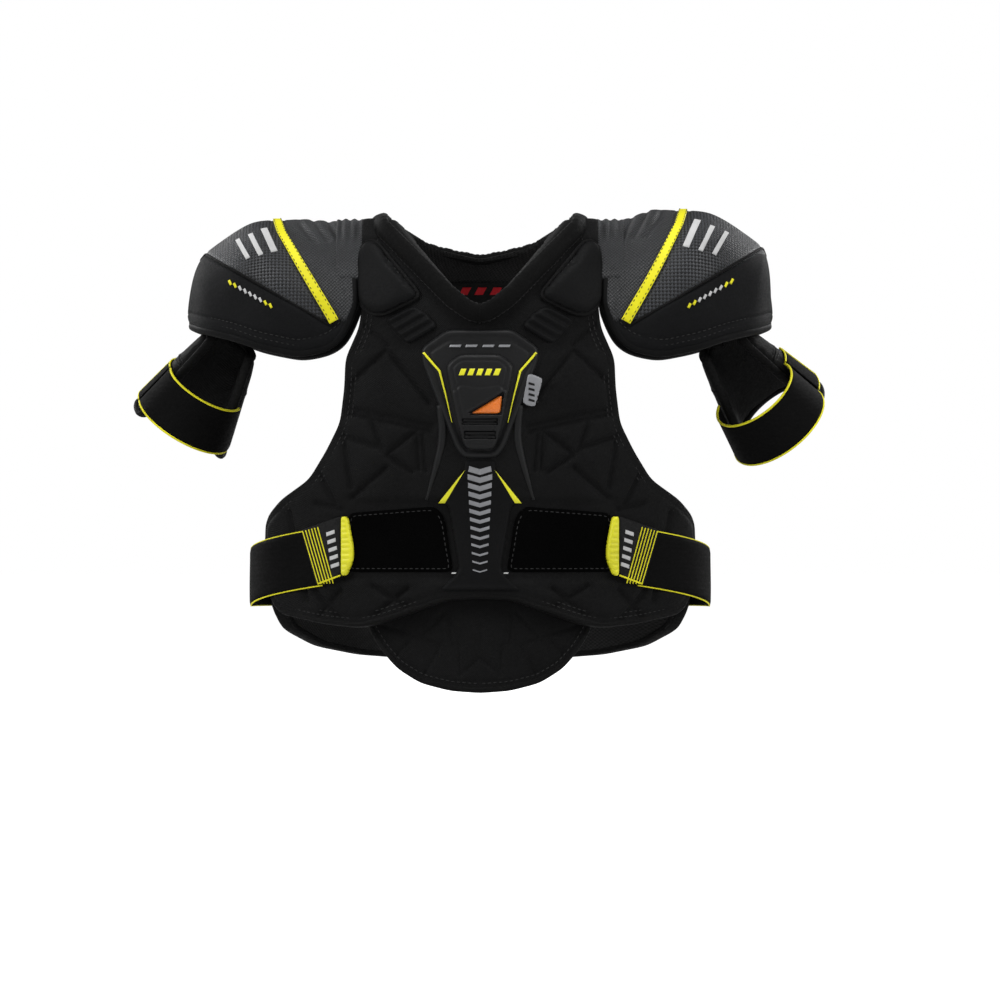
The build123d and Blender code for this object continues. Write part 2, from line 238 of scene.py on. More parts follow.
def swept(
    path: Array, up: Array, section: Array, closed: bool = False, scale: Optional[Array] = None,
) -> tuple[Array, Array]:
    """Sweep a cross-section along a path.

    Args:
        path: Points of the path.
        up: Direction of the section's height at each point.
        section: Points of the cross-section.
        closed: Whether the path is a loop.
        scale: Optional share of the section's size at each point, or of its width and height.

    Returns:
        The points and quads of the swept solid.
    """
    if closed:
        tangent = np.roll(path, -1, axis=0) - np.roll(path, 1, axis=0)
    else:
        tangent = np.gradient(path, axis=0)
    tangent = unit(tangent)
    across = unit(np.cross(tangent, up))
    raised = unit(np.cross(across, tangent))
    share = np.ones((len(path), 1)) if scale is None else np.reshape(scale, (len(path), -1))
    ring = section[None] * share[:, None]
    points = path[:, None] + across[:, None] * ring[..., :1] + raised[:, None] * ring[..., 1:]
    count, size = len(path), len(section)
    i, j = np.meshgrid(np.arange(count if closed else count - 1), np.arange(size), indexing="ij")
    i, j = i.ravel(), j.ravel()
    onward, beside = (i + 1) % count, (j + 1) % size
    quads = np.column_stack([i * size + j, onward * size + j, onward * size + beside, i * size + beside])
    if not closed:
        k = np.arange(size // 2 - 1)
        lid = np.column_stack([k, k + 1, size - 2 - k, size - 1 - k])
        quads = np.vstack([quads, lid, lid[:, ::-1] + (count - 1) * size])
    return points.reshape(-1, 3), quads


def flow_over(points: Array, path: Sequence, width: float, height: float) -> Array:
    """Raise or sink a smooth line in a surface.

    Args:
        points: Flat points of the surface.
        path: The line's flat points.
        width: Width over which the line fades.
        height: Height of the line, negative for a groove.

    Returns:
        The change of height at each point.
    """
    distance, _, _ = nearest(points, np.asarray(path, float), False)
    return height * np.exp(-(distance / width)**2)


def edge_round(edge: Array, radius: float, drop: float) -> Array:
    """Lower a surface towards its edge along a quarter round.

    Args:
        edge: Distance of each point from the edge.
        radius: Width of the rounding.
        drop: Depth of the rounding at the edge.

    Returns:
        The drop at each point.
    """
    share = np.clip(1 - edge / radius, 0, 1)
    return drop * (1 - np.sqrt(np.maximum(1 - share**2, 0)))


# ---------------------------------------------------------------- making pieces
class Shape:
    """Points and faces gathered for one piece, each face with the number of its finish."""

    def __init__(self) -> None:
        """Start empty."""
        self.points: list[Array] = []
        self.faces: list[Array] = []
        self.kinds: list[Array] = []
        self.count = 0

    def add(self, made: tuple[Array, Array], kind: int = 0) -> "Shape":
        """Add points and quads.

        Args:
            made: The points and the quads that use them.
            kind: Number of the finish.

        Returns:
            This shape, so that calls can follow each other.
        """
        points, quads = made
        self.points.append(points)
        self.faces.append(np.asarray(quads) + self.count)
        self.kinds.append(np.full(len(quads), kind))
        self.count += len(points)
        return self


@dataclass
class Maker:
    """Turns shapes into dressed pieces on the bodies of the model."""

    materials: dict[str, bpy.types.Material]

    def piece(
        self,
        name: str,
        shape: Shape,
        finishes: Sequence[str],
        body: Optional[str],
        stands_for: Sequence[str] = (),
        slot: Optional[str] = None,
        cloth_map: Optional[Callable[[Array], Array]] = None,
    ) -> bpy.types.Object:
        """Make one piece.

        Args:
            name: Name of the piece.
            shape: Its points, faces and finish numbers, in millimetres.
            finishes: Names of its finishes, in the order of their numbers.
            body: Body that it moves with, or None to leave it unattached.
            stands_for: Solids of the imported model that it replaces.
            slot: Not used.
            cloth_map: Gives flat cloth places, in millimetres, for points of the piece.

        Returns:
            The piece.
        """
        mesh = bpy.data.meshes.new(name)
        mesh.from_pydata((np.vstack(shape.points) * MM).tolist(), [], np.vstack(shape.faces).tolist())
        for finish in finishes:
            mesh.materials.append(self.materials[finish])
        mesh.polygons.foreach_set("material_index", np.concatenate(shape.kinds).astype(np.int32))
        welded = bmesh.new()
        welded.from_mesh(mesh)
        bmesh.ops.remove_doubles(welded, verts=welded.verts, dist=0.00002)
        bmesh.ops.dissolve_degenerate(welded, edges=welded.edges, dist=0.00001)
        bmesh.ops.recalc_face_normals(welded, faces=welded.faces)
        welded.to_mesh(mesh)
        welded.free()
        piece = bpy.data.objects.new(name, mesh)
        bpy.context.scene.collection.objects.link(piece)
        mesh.shade_smooth()
        if cloth_map:
            layer = mesh.uv_layers.new(name="cloth")
            corners = np.zeros(len(mesh.loops), np.int32)
            mesh.loops.foreach_get("vertex_index", corners)
            layer.data.foreach_set("uv", (cloth_map(points_of(piece) / MM)[corners] * MM).ravel())
        if body:
            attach(piece, body)
        if stands_for:
            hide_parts(*stands_for)
        LOG.info("%s: %d faces", name, len(mesh.polygons))
        return piece


def stuffed(piece: bpy.types.Object, voxel: float, pressure: float, reach: float) -> None:
    """Fill a closed piece with air under its cloth, and keep the swollen form.

    Args:
        piece: The piece, slightly smaller than its finished size.
        voxel: Size of the even mesh, in millimetres.
        pressure: Pressure inside the cloth.
        reach: Most that a point may move, in millimetres.
    """
    scene = bpy.context.scene
    remesh = piece.modifiers.new("even", "REMESH")
    remesh.mode, remesh.voxel_size, remesh.use_smooth_shade = "VOXEL", voxel * MM, True
    keep_modifiers(piece)
    start = points_of(piece)
    cloth = piece.modifiers.new("cloth", "CLOTH")
    cloth.settings.use_pressure = True
    cloth.settings.uniform_pressure_force = pressure
    cloth.settings.quality = 5
    cloth.settings.mass = 0.3
    cloth.settings.tension_stiffness = cloth.settings.compression_stiffness = 15
    cloth.settings.bending_stiffness = 0.8
    cloth.settings.effector_weights.gravity = 0
    cloth.point_cache.frame_start, cloth.point_cache.frame_end = 1, 20
    for moment in range(1, 21):
        scene.frame_set(moment)
    keep_modifiers(piece)
    moved = points_of(piece) - start
    length = np.linalg.norm(moved, axis=1, keepdims=True)
    limited = start + moved * np.minimum(1, reach * MM / np.maximum(length, 1e-9))
    piece.data.vertices.foreach_set("co", limited.ravel())
    scene.frame_set(1)
    smooth = piece.modifiers.new("finer", "SUBSURF")
    smooth.levels = smooth.render_levels = 1
    keep_modifiers(piece)
    piece.data.shade_smooth()


def keep_modifiers(piece: bpy.types.Object) -> None:
    """Apply everything on a piece to its mesh.

    Args:
        piece: The piece.
    """
    bpy.context.view_layer.update()
    made = piece.evaluated_get(bpy.context.evaluated_depsgraph_get())
    mesh = bpy.data.meshes.new_from_object(made)
    finishes = [slot.material for slot in piece.material_slots]
    piece.modifiers.clear()
    piece.data = mesh
    if not mesh.materials:
        for finish in finishes:
            mesh.materials.append(finish)


def points_of(piece: bpy.types.Object) -> Array:
    """Read the points of a piece, in metres."""
    flat = np.zeros(len(piece.data.vertices) * 3)
    piece.data.vertices.foreach_get("co", flat)
    return flat.reshape(-1, 3)


def laid_on(piece: bpy.types.Object, path: Array, outward: Array, lift: float) -> Array:
    """Drop a path onto the surface of a piece.

    Args:
        piece: The piece that carries the path.
        path: Points near its surface, in millimetres.
        outward: Direction away from the surface at each point.
        lift: Height of the path above the surface.

    Returns:
        The points on the surface; a point that meets nothing stays where it was.
    """
    mesh = piece.data
    tree = BVHTree.FromPolygons(
        [v.co.copy() for v in mesh.vertices], [tuple(p.vertices) for p in mesh.polygons],
    )
    laid = np.array(path, float)
    for k, (point, away) in enumerate(zip(path, unit(outward))):
        origin = Vector((point + away * 25) * MM)
        hit = tree.ray_cast(origin, Vector(-away), 50 * MM)[0]
        if hit is not None:
            laid[k] = np.array(hit) / MM + away * lift
    return laid


def stitches(
    shape: Shape, path: Array, up: Array, kind: int, length: float = 3.2, gap: float = 1.9, thread: float = 0.9,
) -> None:
    """Add a row of separate stitches along a path.

    Args:
        shape: Shape that takes the stitches.
        path: Points along the row.
        up: Direction away from the cloth at each point.
        kind: Number of the thread's finish.
        length: Length of one stitch.
        gap: Gap between stitches.
        thread: Thickness of the thread.
    """
    marks = np.r_[0.0, np.cumsum(np.linalg.norm(np.diff(path, axis=0), axis=1))]
    section = rounded_section(thread, thread * 0.8, count=6)
    shares = np.array([0.35, 1.0, 1.0, 0.35])
    for begin in np.arange(gap, marks[-1] - length, length + gap):
        where = begin + np.array([0.0, 0.25, 0.75, 1.0]) * length
        run = np.column_stack([np.interp(where, marks, path[:, k]) for k in range(3)])
        away = np.column_stack([np.interp(where, marks, up[:, k]) for k in range(3)])
        shape.add(swept(run, away, section, scale=shares), kind)


# ---------------------------------------------------------------- finishes
class Texture(Enum):
    """The small-scale pattern of a surface."""

    WEAVE = "woven threads"
    RIB = "raised ribs"
    TWILL = "twill tows"
    PILE = "looped pile"
    GRAIN = "moulded grain"


class Wiring:
    """Adds nodes to one node tree and joins them."""

    def __init__(self, tree: bpy.types.NodeTree) -> None:
        """Hold the tree."""
        self.tree = tree

    def put(self, kind: str, inputs: Optional[dict] = None, **settings: object) -> bpy.types.Node:
        """Add a node.

        Args:
            kind: Type of the node.
            inputs: Values or sockets for its inputs, by name or number.
            settings: Attributes of the node.

        Returns:
            The node.
        """
        node = self.tree.nodes.new(kind)
        for name, value in settings.items():
            setattr(node, name, value)
        for key, value in (inputs or {}).items():
            if isinstance(value, bpy.types.NodeSocket):
                self.tree.links.new(value, node.inputs[key])
            else:
                node.inputs[key].default_value = value
        return node

    def maths(self, operation: str, a: object, b: object = 0.0) -> bpy.types.NodeSocket:
        """Add one arithmetic node and give its result."""
        return self.put("ShaderNodeMath", {0: a, 1: b}, operation=operation).outputs[0]

    def blend(self, share: object, low: object, high: object) -> bpy.types.NodeSocket:
        """Mix two colours by a share and give the result.

        Args:
            share: Share of the second colour.
            low: First colour.
            high: Second colour.

        Returns:
            The mixed colour.
        """
        node = self.put("ShaderNodeMix", data_type="RGBA")
        for socket, value in ((node.inputs[0], share), (node.inputs[6], low), (node.inputs[7], high)):
            if isinstance(value, bpy.types.NodeSocket):
                self.tree.links.new(value, socket)
            else:
                socket.default_value = value
        return node.outputs[2]


class Effects:
    """Shader node groups that the finishes share, each built once."""

    PATTERN = {"Coordinates": (0.0, 0.0, 0.0), "Pitch": 0.002, "Direction": (0.0, 0.0, 1.0)}

    def __init__(self) -> None:
        """Build every group."""
        self.groups = {
            Texture.WEAVE: self.weave(),
            Texture.RIB: self.ribs(),
            Texture.TWILL: self.twill(),
            Texture.PILE: self.pile(),
            Texture.GRAIN: self.grain(),
        }
        self.mottle = self.mottling()
        self.edge_wear_and_highlight = self.worn_and_highlit_edges()

    @staticmethod
    def begin(
        name: str, inputs: dict[str, object], outputs: Sequence[str],
    ) -> tuple[Wiring, dict, bpy.types.Node]:
        """Start a group.

        Args:
            name: Name of the group.
            inputs: Its inputs with their usual values; a tuple makes a vector.
            outputs: Names of its outputs, all plain values.

        Returns:
            The wiring, the input sockets by name, and the output node.
        """
        tree = bpy.data.node_groups.new(name, "ShaderNodeTree")
        for label, value in inputs.items():
            kind = "NodeSocketVector" if isinstance(value, tuple) else "NodeSocketFloat"
            tree.interface.new_socket(label, in_out="INPUT", socket_type=kind).default_value = value
        for label in outputs:
            tree.interface.new_socket(label, in_out="OUTPUT", socket_type="NodeSocketFloat")
        wiring = Wiring(tree)
        enter = wiring.put("NodeGroupInput")
        return wiring, {s.name: s for s in enter.outputs if s.name}, wiring.put("NodeGroupOutput")

    @staticmethod
    def finish(wiring: Wiring, leave: bpy.types.Node, results: dict[str, object]) -> bpy.types.NodeTree:
        """Join a group's results to its outputs and give the group."""
        for label, socket in results.items():
            wiring.tree.links.new(socket, leave.inputs[label])
        return wiring.tree

    def weave(self) -> bpy.types.NodeTree:
        """Build crossing threads from two waves.

        Returns:
            The node group.
        """
        w, given, leave = self.begin("woven_threads", self.PATTERN, ["Height", "Mask"])
        axes = w.put("ShaderNodeSeparateXYZ", {0: given["Coordinates"]})
        turn = w.maths("DIVIDE", 2 * math.pi, given["Pitch"])
        sideways = w.maths("MULTIPLY_ADD", axes.outputs["Y"], 0.7)
        w.tree.links.new(axes.outputs["X"], sideways.node.inputs[2])
        warp = w.maths("SINE", w.maths("MULTIPLY", sideways, turn))
        weft = w.maths("SINE", w.maths("MULTIPLY", axes.outputs["Z"], turn))
        crossing = w.maths("MULTIPLY", warp, weft)
        height = w.put("ShaderNodeMapRange", {0: crossing, 1: -1.0, 2: 1.0}).outputs[0]
        return self.finish(w, leave, {"Height": height, "Mask": height})

    def ribs(self) -> bpy.types.NodeTree:
        """Build even ribs along one direction, with fine threads across them.

        Returns:
            The node group.
        """
        w, given, leave = self.begin("raised_ribs", self.PATTERN, ["Height", "Mask"])
        along = w.put(
            "ShaderNodeVectorMath", {0: given["Coordinates"], 1: given["Direction"]}, operation="DOT_PRODUCT",
        ).outputs["Value"]
        turn = w.maths("DIVIDE", 2 * math.pi, given["Pitch"])
        wave = w.maths("SINE", w.maths("MULTIPLY", along, turn))
        height = w.put("ShaderNodeMapRange", {0: wave, 1: -1.0, 2: 1.0}).outputs[0]
        fine = w.put(
            "ShaderNodeTexNoise", {"Vector": given["Coordinates"], "Scale": 900.0, "Detail": 1.0},
        ).outputs[0]
        mask = w.maths("MULTIPLY", height, fine)
        return self.finish(w, leave, {"Height": height, "Mask": mask})

    def twill(self) -> bpy.types.NodeTree:
        """Build the stepped squares of a two-by-two twill.

        Returns:
            The node group.
        """
        w, given, leave = self.begin("twill_tows", self.PATTERN, ["Height", "Mask"])
        axes = w.put("ShaderNodeSeparateXYZ", {0: given["Coordinates"]})
        rise = w.maths("DIVIDE", w.maths("ADD", axes.outputs["X"], axes.outputs["Z"]), given["Pitch"])
        fall = w.maths("DIVIDE", w.maths("SUBTRACT", axes.outputs["X"], axes.outputs["Z"]), given["Pitch"])
        steps = w.maths("ADD", w.maths("FLOOR", rise), w.maths("FLOOR", fall))
        check = w.maths("PINGPONG", steps, 1.0)
        one = w.maths("PINGPONG", rise, 0.5)
        other = w.maths("PINGPONG", fall, 0.5)
        height = w.put("ShaderNodeMix", {0: check, 2: one, 3: other}).outputs[0]
        return self.finish(w, leave, {"Height": w.maths("MULTIPLY", height, 2.0), "Mask": check})

    def pile(self) -> bpy.types.NodeTree:
        """Build the small loops of a brushed fastening cloth.

        Returns:
            The node group.
        """
        w, given, leave = self.begin("looped_pile", self.PATTERN, ["Height", "Mask"])
        scale = w.maths("DIVIDE", 1.0, given["Pitch"])
        cells = w.put(
            "ShaderNodeTexVoronoi", {"Vector": given["Coordinates"], "Scale": scale},
        ).outputs["Distance"]
        tangle = w.put(
            "ShaderNodeTexNoise",
            {"Vector": given["Coordinates"], "Scale": scale, "Detail": 5.0, "Distortion": 2.0},
        ).outputs[0]
        return self.finish(
            w, leave, {"Height": w.maths("MULTIPLY", w.maths("ADD", cells, tangle), 0.6), "Mask": tangle},
        )

    def grain(self) -> bpy.types.NodeTree:
        """Build the pebbled grain of a moulded surface.

        Returns:
            The node group.
        """
        w, given, leave = self.begin("moulded_grain", self.PATTERN, ["Height", "Mask"])
        scale = w.maths("DIVIDE", 1.0, given["Pitch"])
        cells = w.put(
            "ShaderNodeTexVoronoi", {"Vector": given["Coordinates"], "Scale": scale}, feature="SMOOTH_F1",
        ).outputs["Distance"]
        speck = w.put(
            "ShaderNodeTexNoise", {"Vector": given["Coordinates"], "Scale": scale, "Detail": 3.0},
        ).outputs[0]
        return self.finish(w, leave, {"Height": cells, "Mask": speck})

    def mottling(self) -> bpy.types.NodeTree:
        """Build slow changes of tone and fine specks.

        Returns:
            The node group.
        """
        w, given, leave = self.begin(
            "cloth_mottling", {"Coordinates": (0.0, 0.0, 0.0), "Scale": 18.0}, ["Broad", "Fine"],
        )
        broad = w.put(
            "ShaderNodeTexNoise",
            {"Vector": given["Coordinates"], "Scale": given["Scale"], "Detail": 4.0, "Roughness": 0.55},
        ).outputs[0]
        fine = w.put(
            "ShaderNodeTexNoise",
            {"Vector": given["Coordinates"], "Scale": w.maths("MULTIPLY", given["Scale"], 28.0), "Detail": 2.0},
        ).outputs[0]
        return self.finish(w, leave, {"Broad": broad, "Fine": fine})

    def worn_and_highlit_edges(self) -> bpy.types.NodeTree:
        """Build a mask of convex edges, broken up by noise: partly rubbed wear, partly a painted edge
        highlight.

        Returns:
            The node group.
        """
        w, given, leave = self.begin("worn_and_highlit_edges", {"Coordinates": (0.0, 0.0, 0.0), "Amount": 1.0}, ["Mask"])
        # Convex edges get a lighter colour: rubbed wear, and also a painted highlight standing in for edge
        # sheen.
        bent = w.put("ShaderNodeNewGeometry").outputs["Pointiness"]
        edge = w.put("ShaderNodeMapRange", {0: bent, 1: 0.52, 2: 0.66}).outputs[0]
        broken = w.put(
            "ShaderNodeTexNoise", {"Vector": given["Coordinates"], "Scale": 160.0, "Detail": 4.0},
        ).outputs[0]
        mask = w.maths("MULTIPLY", w.maths("MULTIPLY", edge, broken), given["Amount"])
        return self.finish(w, leave, {"Mask": mask})


@dataclass(frozen=True)
class Finish:
    """One surface finish: its colours, its small pattern and how it shines."""

    name: str
    base: Colour
    raised: Colour
    texture: Texture
    pitch: float = 2.0
    relief: float = 0.3
    direction: tuple[float, float, float] = (0.0, 0.0, 1.0)
    contrast: float = 0.6
    roughness: tuple[float, float] = (0.55, 0.8)
    specular: float = 0.2
    sheen: float = 0.0
    coat: float = 0.0
    metallic: float = 0.0
    # Share of the lighter colour on convex edges: part rubbed wear, part painted edge highlight.
    wear_and_highlight: float = 0.0
    mapped: bool = False

    def material(self, effects: Effects) -> bpy.types.Material:
        """Build the material.

        Args:
            effects: The shared node groups.

        Returns:
            The material.
        """
        material = bpy.data.materials.new(self.name)
        material.use_nodes = True
        tree = material.node_tree
        tree.nodes.clear()
        w = Wiring(tree)
        place = w.put("ShaderNodeTexCoord").outputs["Object"]
        pattern = w.put("ShaderNodeGroup", node_tree=effects.groups[self.texture])
        mottle = w.put("ShaderNodeGroup", node_tree=effects.mottle)
        edge_wear_and_highlight = w.put("ShaderNodeGroup", node_tree=effects.edge_wear_and_highlight)
        for node in (pattern, mottle, edge_wear_and_highlight):
            tree.links.new(place, node.inputs["Coordinates"])
        if self.mapped:
            flat = w.put("ShaderNodeSeparateXYZ", {0: w.put("ShaderNodeUVMap", uv_map="cloth").outputs[0]})
            cloth = w.put("ShaderNodeCombineXYZ", {0: flat.outputs[0], 2: flat.outputs[1]})
            tree.links.new(cloth.outputs[0], pattern.inputs["Coordinates"])
        pattern.inputs["Pitch"].default_value = self.pitch * MM
        pattern.inputs["Direction"].default_value = self.direction
        edge_wear_and_highlight.inputs["Amount"].default_value = self.wear_and_highlight
        threads = w.maths("MULTIPLY", pattern.outputs["Mask"], self.contrast)
        toned = w.blend(threads, (*self.base, 1.0), (*self.raised, 1.0))
        shade = tuple(0.62 * c for c in self.base)
        slow = w.put(
            "ShaderNodeMapRange", {0: mottle.outputs["Broad"], 1: 0.35, 2: 0.7, 3: 0.0, 4: 0.55},
        ).outputs[0]
        mottled = w.blend(slow, toned, (*shade, 1.0))
        # Lighter colour on convex edges: partly rubbed wear, partly a painted highlight.
        light = tuple(min(1.0, 0.012 + 1.6 * c) for c in self.raised)
        colour = w.blend(edge_wear_and_highlight.outputs["Mask"], mottled, (*light, 1.0))
        low, high = self.roughness
        rough = w.put(
            "ShaderNodeMapRange", {0: mottle.outputs["Fine"], 1: 0.3, 2: 0.7, 3: low, 4: high},
        ).outputs[0]
        height = w.maths("ADD", pattern.outputs["Height"], w.maths("MULTIPLY", mottle.outputs["Fine"], 0.35))
        bump = w.put("ShaderNodeBump", {"Height": height, "Distance": self.relief * MM, "Strength": 1.0})
        shader = w.put(
            "ShaderNodeBsdfPrincipled",
            {
                "Base Color": colour,
                "Roughness": rough,
                "Normal": bump.outputs[0],
                "Metallic": self.metallic,
                "Specular IOR Level": self.specular,
                "Sheen Weight": self.sheen,
                "Sheen Roughness": 0.45,
                "Coat Weight": self.coat,
                "Coat Roughness": 0.25,
            },
        )
        w.put("ShaderNodeOutputMaterial", {"Surface": shader.outputs[0]})
        return material


def grey(value: float, tint: float = 0.0) -> Colour:
    """A near-black or grey tone, with a little blue where tint is above 0."""
    return (value, value * (1 + 0.3 * tint), value * (1 + tint))


FINISHES = (
    Finish(
        "shell_knit", grey(0.0032), grey(0.012, 0.05), Texture.WEAVE, pitch=1.9, relief=0.3, sheen=0.02,
        specular=0.08, wear_and_highlight=0.03,
    ),
    Finish(
        "liner_mesh", grey(0.014), grey(0.04), Texture.WEAVE, pitch=3.2, relief=0.5, sheen=0.01, specular=0.05,
        wear_and_highlight=0.02,
    ),
    Finish(
        "binding_tape", grey(0.0026), grey(0.009), Texture.RIB, pitch=1.3, relief=0.2, specular=0.12, wear_and_highlight=0.04,
    ),
    Finish(
        "collar_velour", grey(0.0024), grey(0.008), Texture.PILE, pitch=1.2, relief=0.25, sheen=0.04,
        specular=0.05,
    ),
    Finish(
        "moulded_foam", grey(0.0034, 0.05), grey(0.009, 0.1), Texture.GRAIN, pitch=1.1, relief=0.12,
        roughness=(0.55, 0.7), specular=0.08, wear_and_highlight=0.08,
    ),
    Finish(
        "moulded_rubber", grey(0.004, 0.1), grey(0.011, 0.1), Texture.GRAIN, pitch=0.8, relief=0.1,
        roughness=(0.42, 0.6), specular=0.24, wear_and_highlight=0.2,
    ),
    Finish(
        "hard_plastic", grey(0.005), grey(0.014), Texture.GRAIN, pitch=1.4, relief=0.08, roughness=(0.3, 0.5),
        specular=0.4, wear_and_highlight=0.3,
    ),
    Finish(
        "elastic_webbing", grey(0.0026), grey(0.0075), Texture.RIB, pitch=1.15, relief=0.22, specular=0.06,
        roughness=(0.7, 0.85), wear_and_highlight=0.02,
    ),
    Finish(
        "loop_pile", grey(0.0008), grey(0.003), Texture.PILE, pitch=1.5, relief=0.45, roughness=(0.85, 0.98),
        specular=0.02,
    ),
    Finish("hook_tape", grey(0.004), grey(0.013), Texture.WEAVE, pitch=1.2, relief=0.6),
    Finish(
        "cap_ribbed", grey(0.003, 0.15), grey(0.04, 0.15), Texture.WEAVE, pitch=3.4, relief=0.7, contrast=1.0,
        roughness=(0.42, 0.6), specular=0.34, wear_and_highlight=0.05, mapped=True,
    ),
    Finish(
        "cap_twill", grey(0.003, 0.2), grey(0.042, 0.2), Texture.TWILL, pitch=3.4, relief=0.4, contrast=1.0,
        roughness=(0.42, 0.58), specular=0.32, wear_and_highlight=0.05, mapped=True,
    ),
    Finish(
        "cap_smooth", grey(0.0036, 0.15), grey(0.009, 0.15), Texture.WEAVE, pitch=1.4, relief=0.16,
        roughness=(0.6, 0.75), specular=0.1, wear_and_highlight=0.04, mapped=True,
    ),
    Finish("tab_cloth", grey(0.003), grey(0.008), Texture.RIB, pitch=1.0, relief=0.12),
    Finish(
        "yellow_tape", (0.8, 0.74, 0.012), (0.92, 0.87, 0.04), Texture.RIB, pitch=1.2, relief=0.12,
        contrast=0.5, roughness=(0.4, 0.55),
    ),
    Finish(
        "yellow_rubber", (0.78, 0.75, 0.01), (0.88, 0.86, 0.05), Texture.GRAIN, pitch=1.0, relief=0.08,
        roughness=(0.35, 0.5), specular=0.4,
    ),
    Finish(
        "yellow_thread", (0.78, 0.72, 0.015), (0.95, 0.9, 0.06), Texture.RIB, pitch=0.9, relief=0.15,
        direction=(0.7, 0.0, 0.7),
    ),
    Finish(
        "black_thread", grey(0.02), grey(0.05), Texture.RIB, pitch=0.9, relief=0.1, direction=(0.7, 0.0, 0.7),
    ),
    Finish(
        "orange_gel", (0.88, 0.19, 0.015), (0.95, 0.28, 0.03), Texture.GRAIN, pitch=1.5, relief=0.1,
        roughness=(0.2, 0.35), specular=0.5, coat=0.4,
    ),
    Finish(
        "silver_print", (0.22, 0.225, 0.24), (0.4, 0.405, 0.42), Texture.WEAVE, pitch=1.1, relief=0.08,
        roughness=(0.35, 0.5), specular=0.5, metallic=0.2,
    ),
    Finish("white_print", (0.5, 0.5, 0.5), (0.66, 0.66, 0.66), Texture.WEAVE, pitch=1.1, relief=0.05),
    Finish("red_print", (0.5, 0.012, 0.02), (0.65, 0.03, 0.04), Texture.WEAVE, pitch=1.1, relief=0.05),
    Finish("woven_label", grey(0.005), grey(0.015), Texture.RIB, pitch=0.8, relief=0.1),
)


# ---------------------------------------------------------------- the torso form
class Face(Enum):
    """Which side of the vest a surface is on."""

    FRONT = -1.0
    BACK = 1.0


@dataclass(frozen=True)
class TorsoForm:
    """The smooth body that every vest layer follows, measured in millimetres."""

    heights: tuple[float, ...] = (-285.0, -210.0, -138.0, -74.0, -37.0, 0.0)
    half_widths: tuple[float, ...] = (195.0, 187.0, 173.0, 158.0, 147.0, 138.0)
    half_depths: tuple[float, ...] = (96.0, 101.0, 105.0, 99.0, 84.0, 50.0)
    vest_thickness: float = 14.0
    ridge_half_depth: float = 57.0
    unroll: float = 160.0

    def curve(self, height: Array, values: tuple[float, ...]) -> Array:
        """Read a smooth curve through the sections at some heights.

        Args:
            height: Heights to read at.
            values: One value for each section.

        Returns:
            The value at each height.
        """
        knots, known = np.array(self.heights), np.array(values)
        slopes = np.gradient(known, knots)
        slopes[0] = 0.0
        slopes[-1] = (known[-1] - known[-2]) / (knots[-1] - knots[-2]) * 1.15
        h = np.clip(height, knots[0], None)
        k = np.clip(np.searchsorted(knots, h, side="right") - 1, 0, len(knots) - 2)
        span = knots[k + 1] - knots[k]
        s = (h - knots[k]) / span
        s = np.minimum(s, 1.0)
        return (
            (2 * s**3 - 3 * s**2 + 1) * known[k]
            + (s**3 - 2 * s**2 + s) * span * slopes[k]
            + (3 * s**2 - 2 * s**3) * known[k + 1]
            + (s**3 - s**2) * span * slopes[k + 1]
        )

    def half_axes(self, z: Array, grown: Array) -> tuple[Array, Array]:
        """Give the half width and half depth of the form.

        Args:
            z: Heights.
            grown: Distances that the form is grown by.

        Returns:
            Half widths and half depths.
        """
        shoulder = self.heights[-2]
        top = grown - self.vest_thickness
        z = np.asarray(z, float)
        lifted = shoulder + (z - shoulder) * -shoulder / (top - shoulder)
        level = np.where(z > shoulder, lifted, z)
        near_top = np.clip((level - shoulder) / -shoulder, 0, 1)
        half_width = self.curve(level, self.half_widths) + grown
        spare = self.ridge_half_depth - self.half_depths[-1] - grown / 2
        half_depth = self.curve(level, self.half_depths) + grown + spare * near_top**2
        return half_width, half_depth

    def bearing(self, x: Array, z: Array) -> Array:
        """Give the angle round the form of a front-view place on the vest's outside."""
        half_width, _ = self.half_axes(z, np.full(np.shape(z), self.vest_thickness))
        return np.arcsin(np.clip(np.asarray(x) / half_width, -1, 1))

    def point(self, bearing: Array, z: Array, grown: Array, face: Face) -> Array:
        """Give points of the grown form.

        Args:
            bearing: Angles from the middle of the face, positive to the wearer's left.
            z: Heights.
            grown: Distances outside the body.
            face: Front or back.

        Returns:
            The points.
        """
        grown = np.broadcast_to(np.asarray(grown, float), np.shape(bearing))
        half_width, half_depth = self.half_axes(z, grown)
        return np.column_stack(
            [
                half_width * np.sin(bearing), face.value * half_depth * np.cos(bearing),
                np.asarray(z) * np.ones(len(bearing)),
            ]
        )

    def line(self, path: Sequence, grown: float, face: Face) -> tuple[Array, Array]:
        """Lay a front-view path on the form.

        Args:
            path: The path's x and z.
            grown: Distance outside the body.
            face: Front or back.

        Returns:
            The points and the outward directions.
        """
        path = np.asarray(path, float)
        bearing = self.bearing(path[:, 0], path[:, 1])
        inner = self.point(bearing, path[:, 1], grown, face)
        outer = self.point(bearing, path[:, 1], grown + 2.0, face)
        return inner, unit(outer - inner)


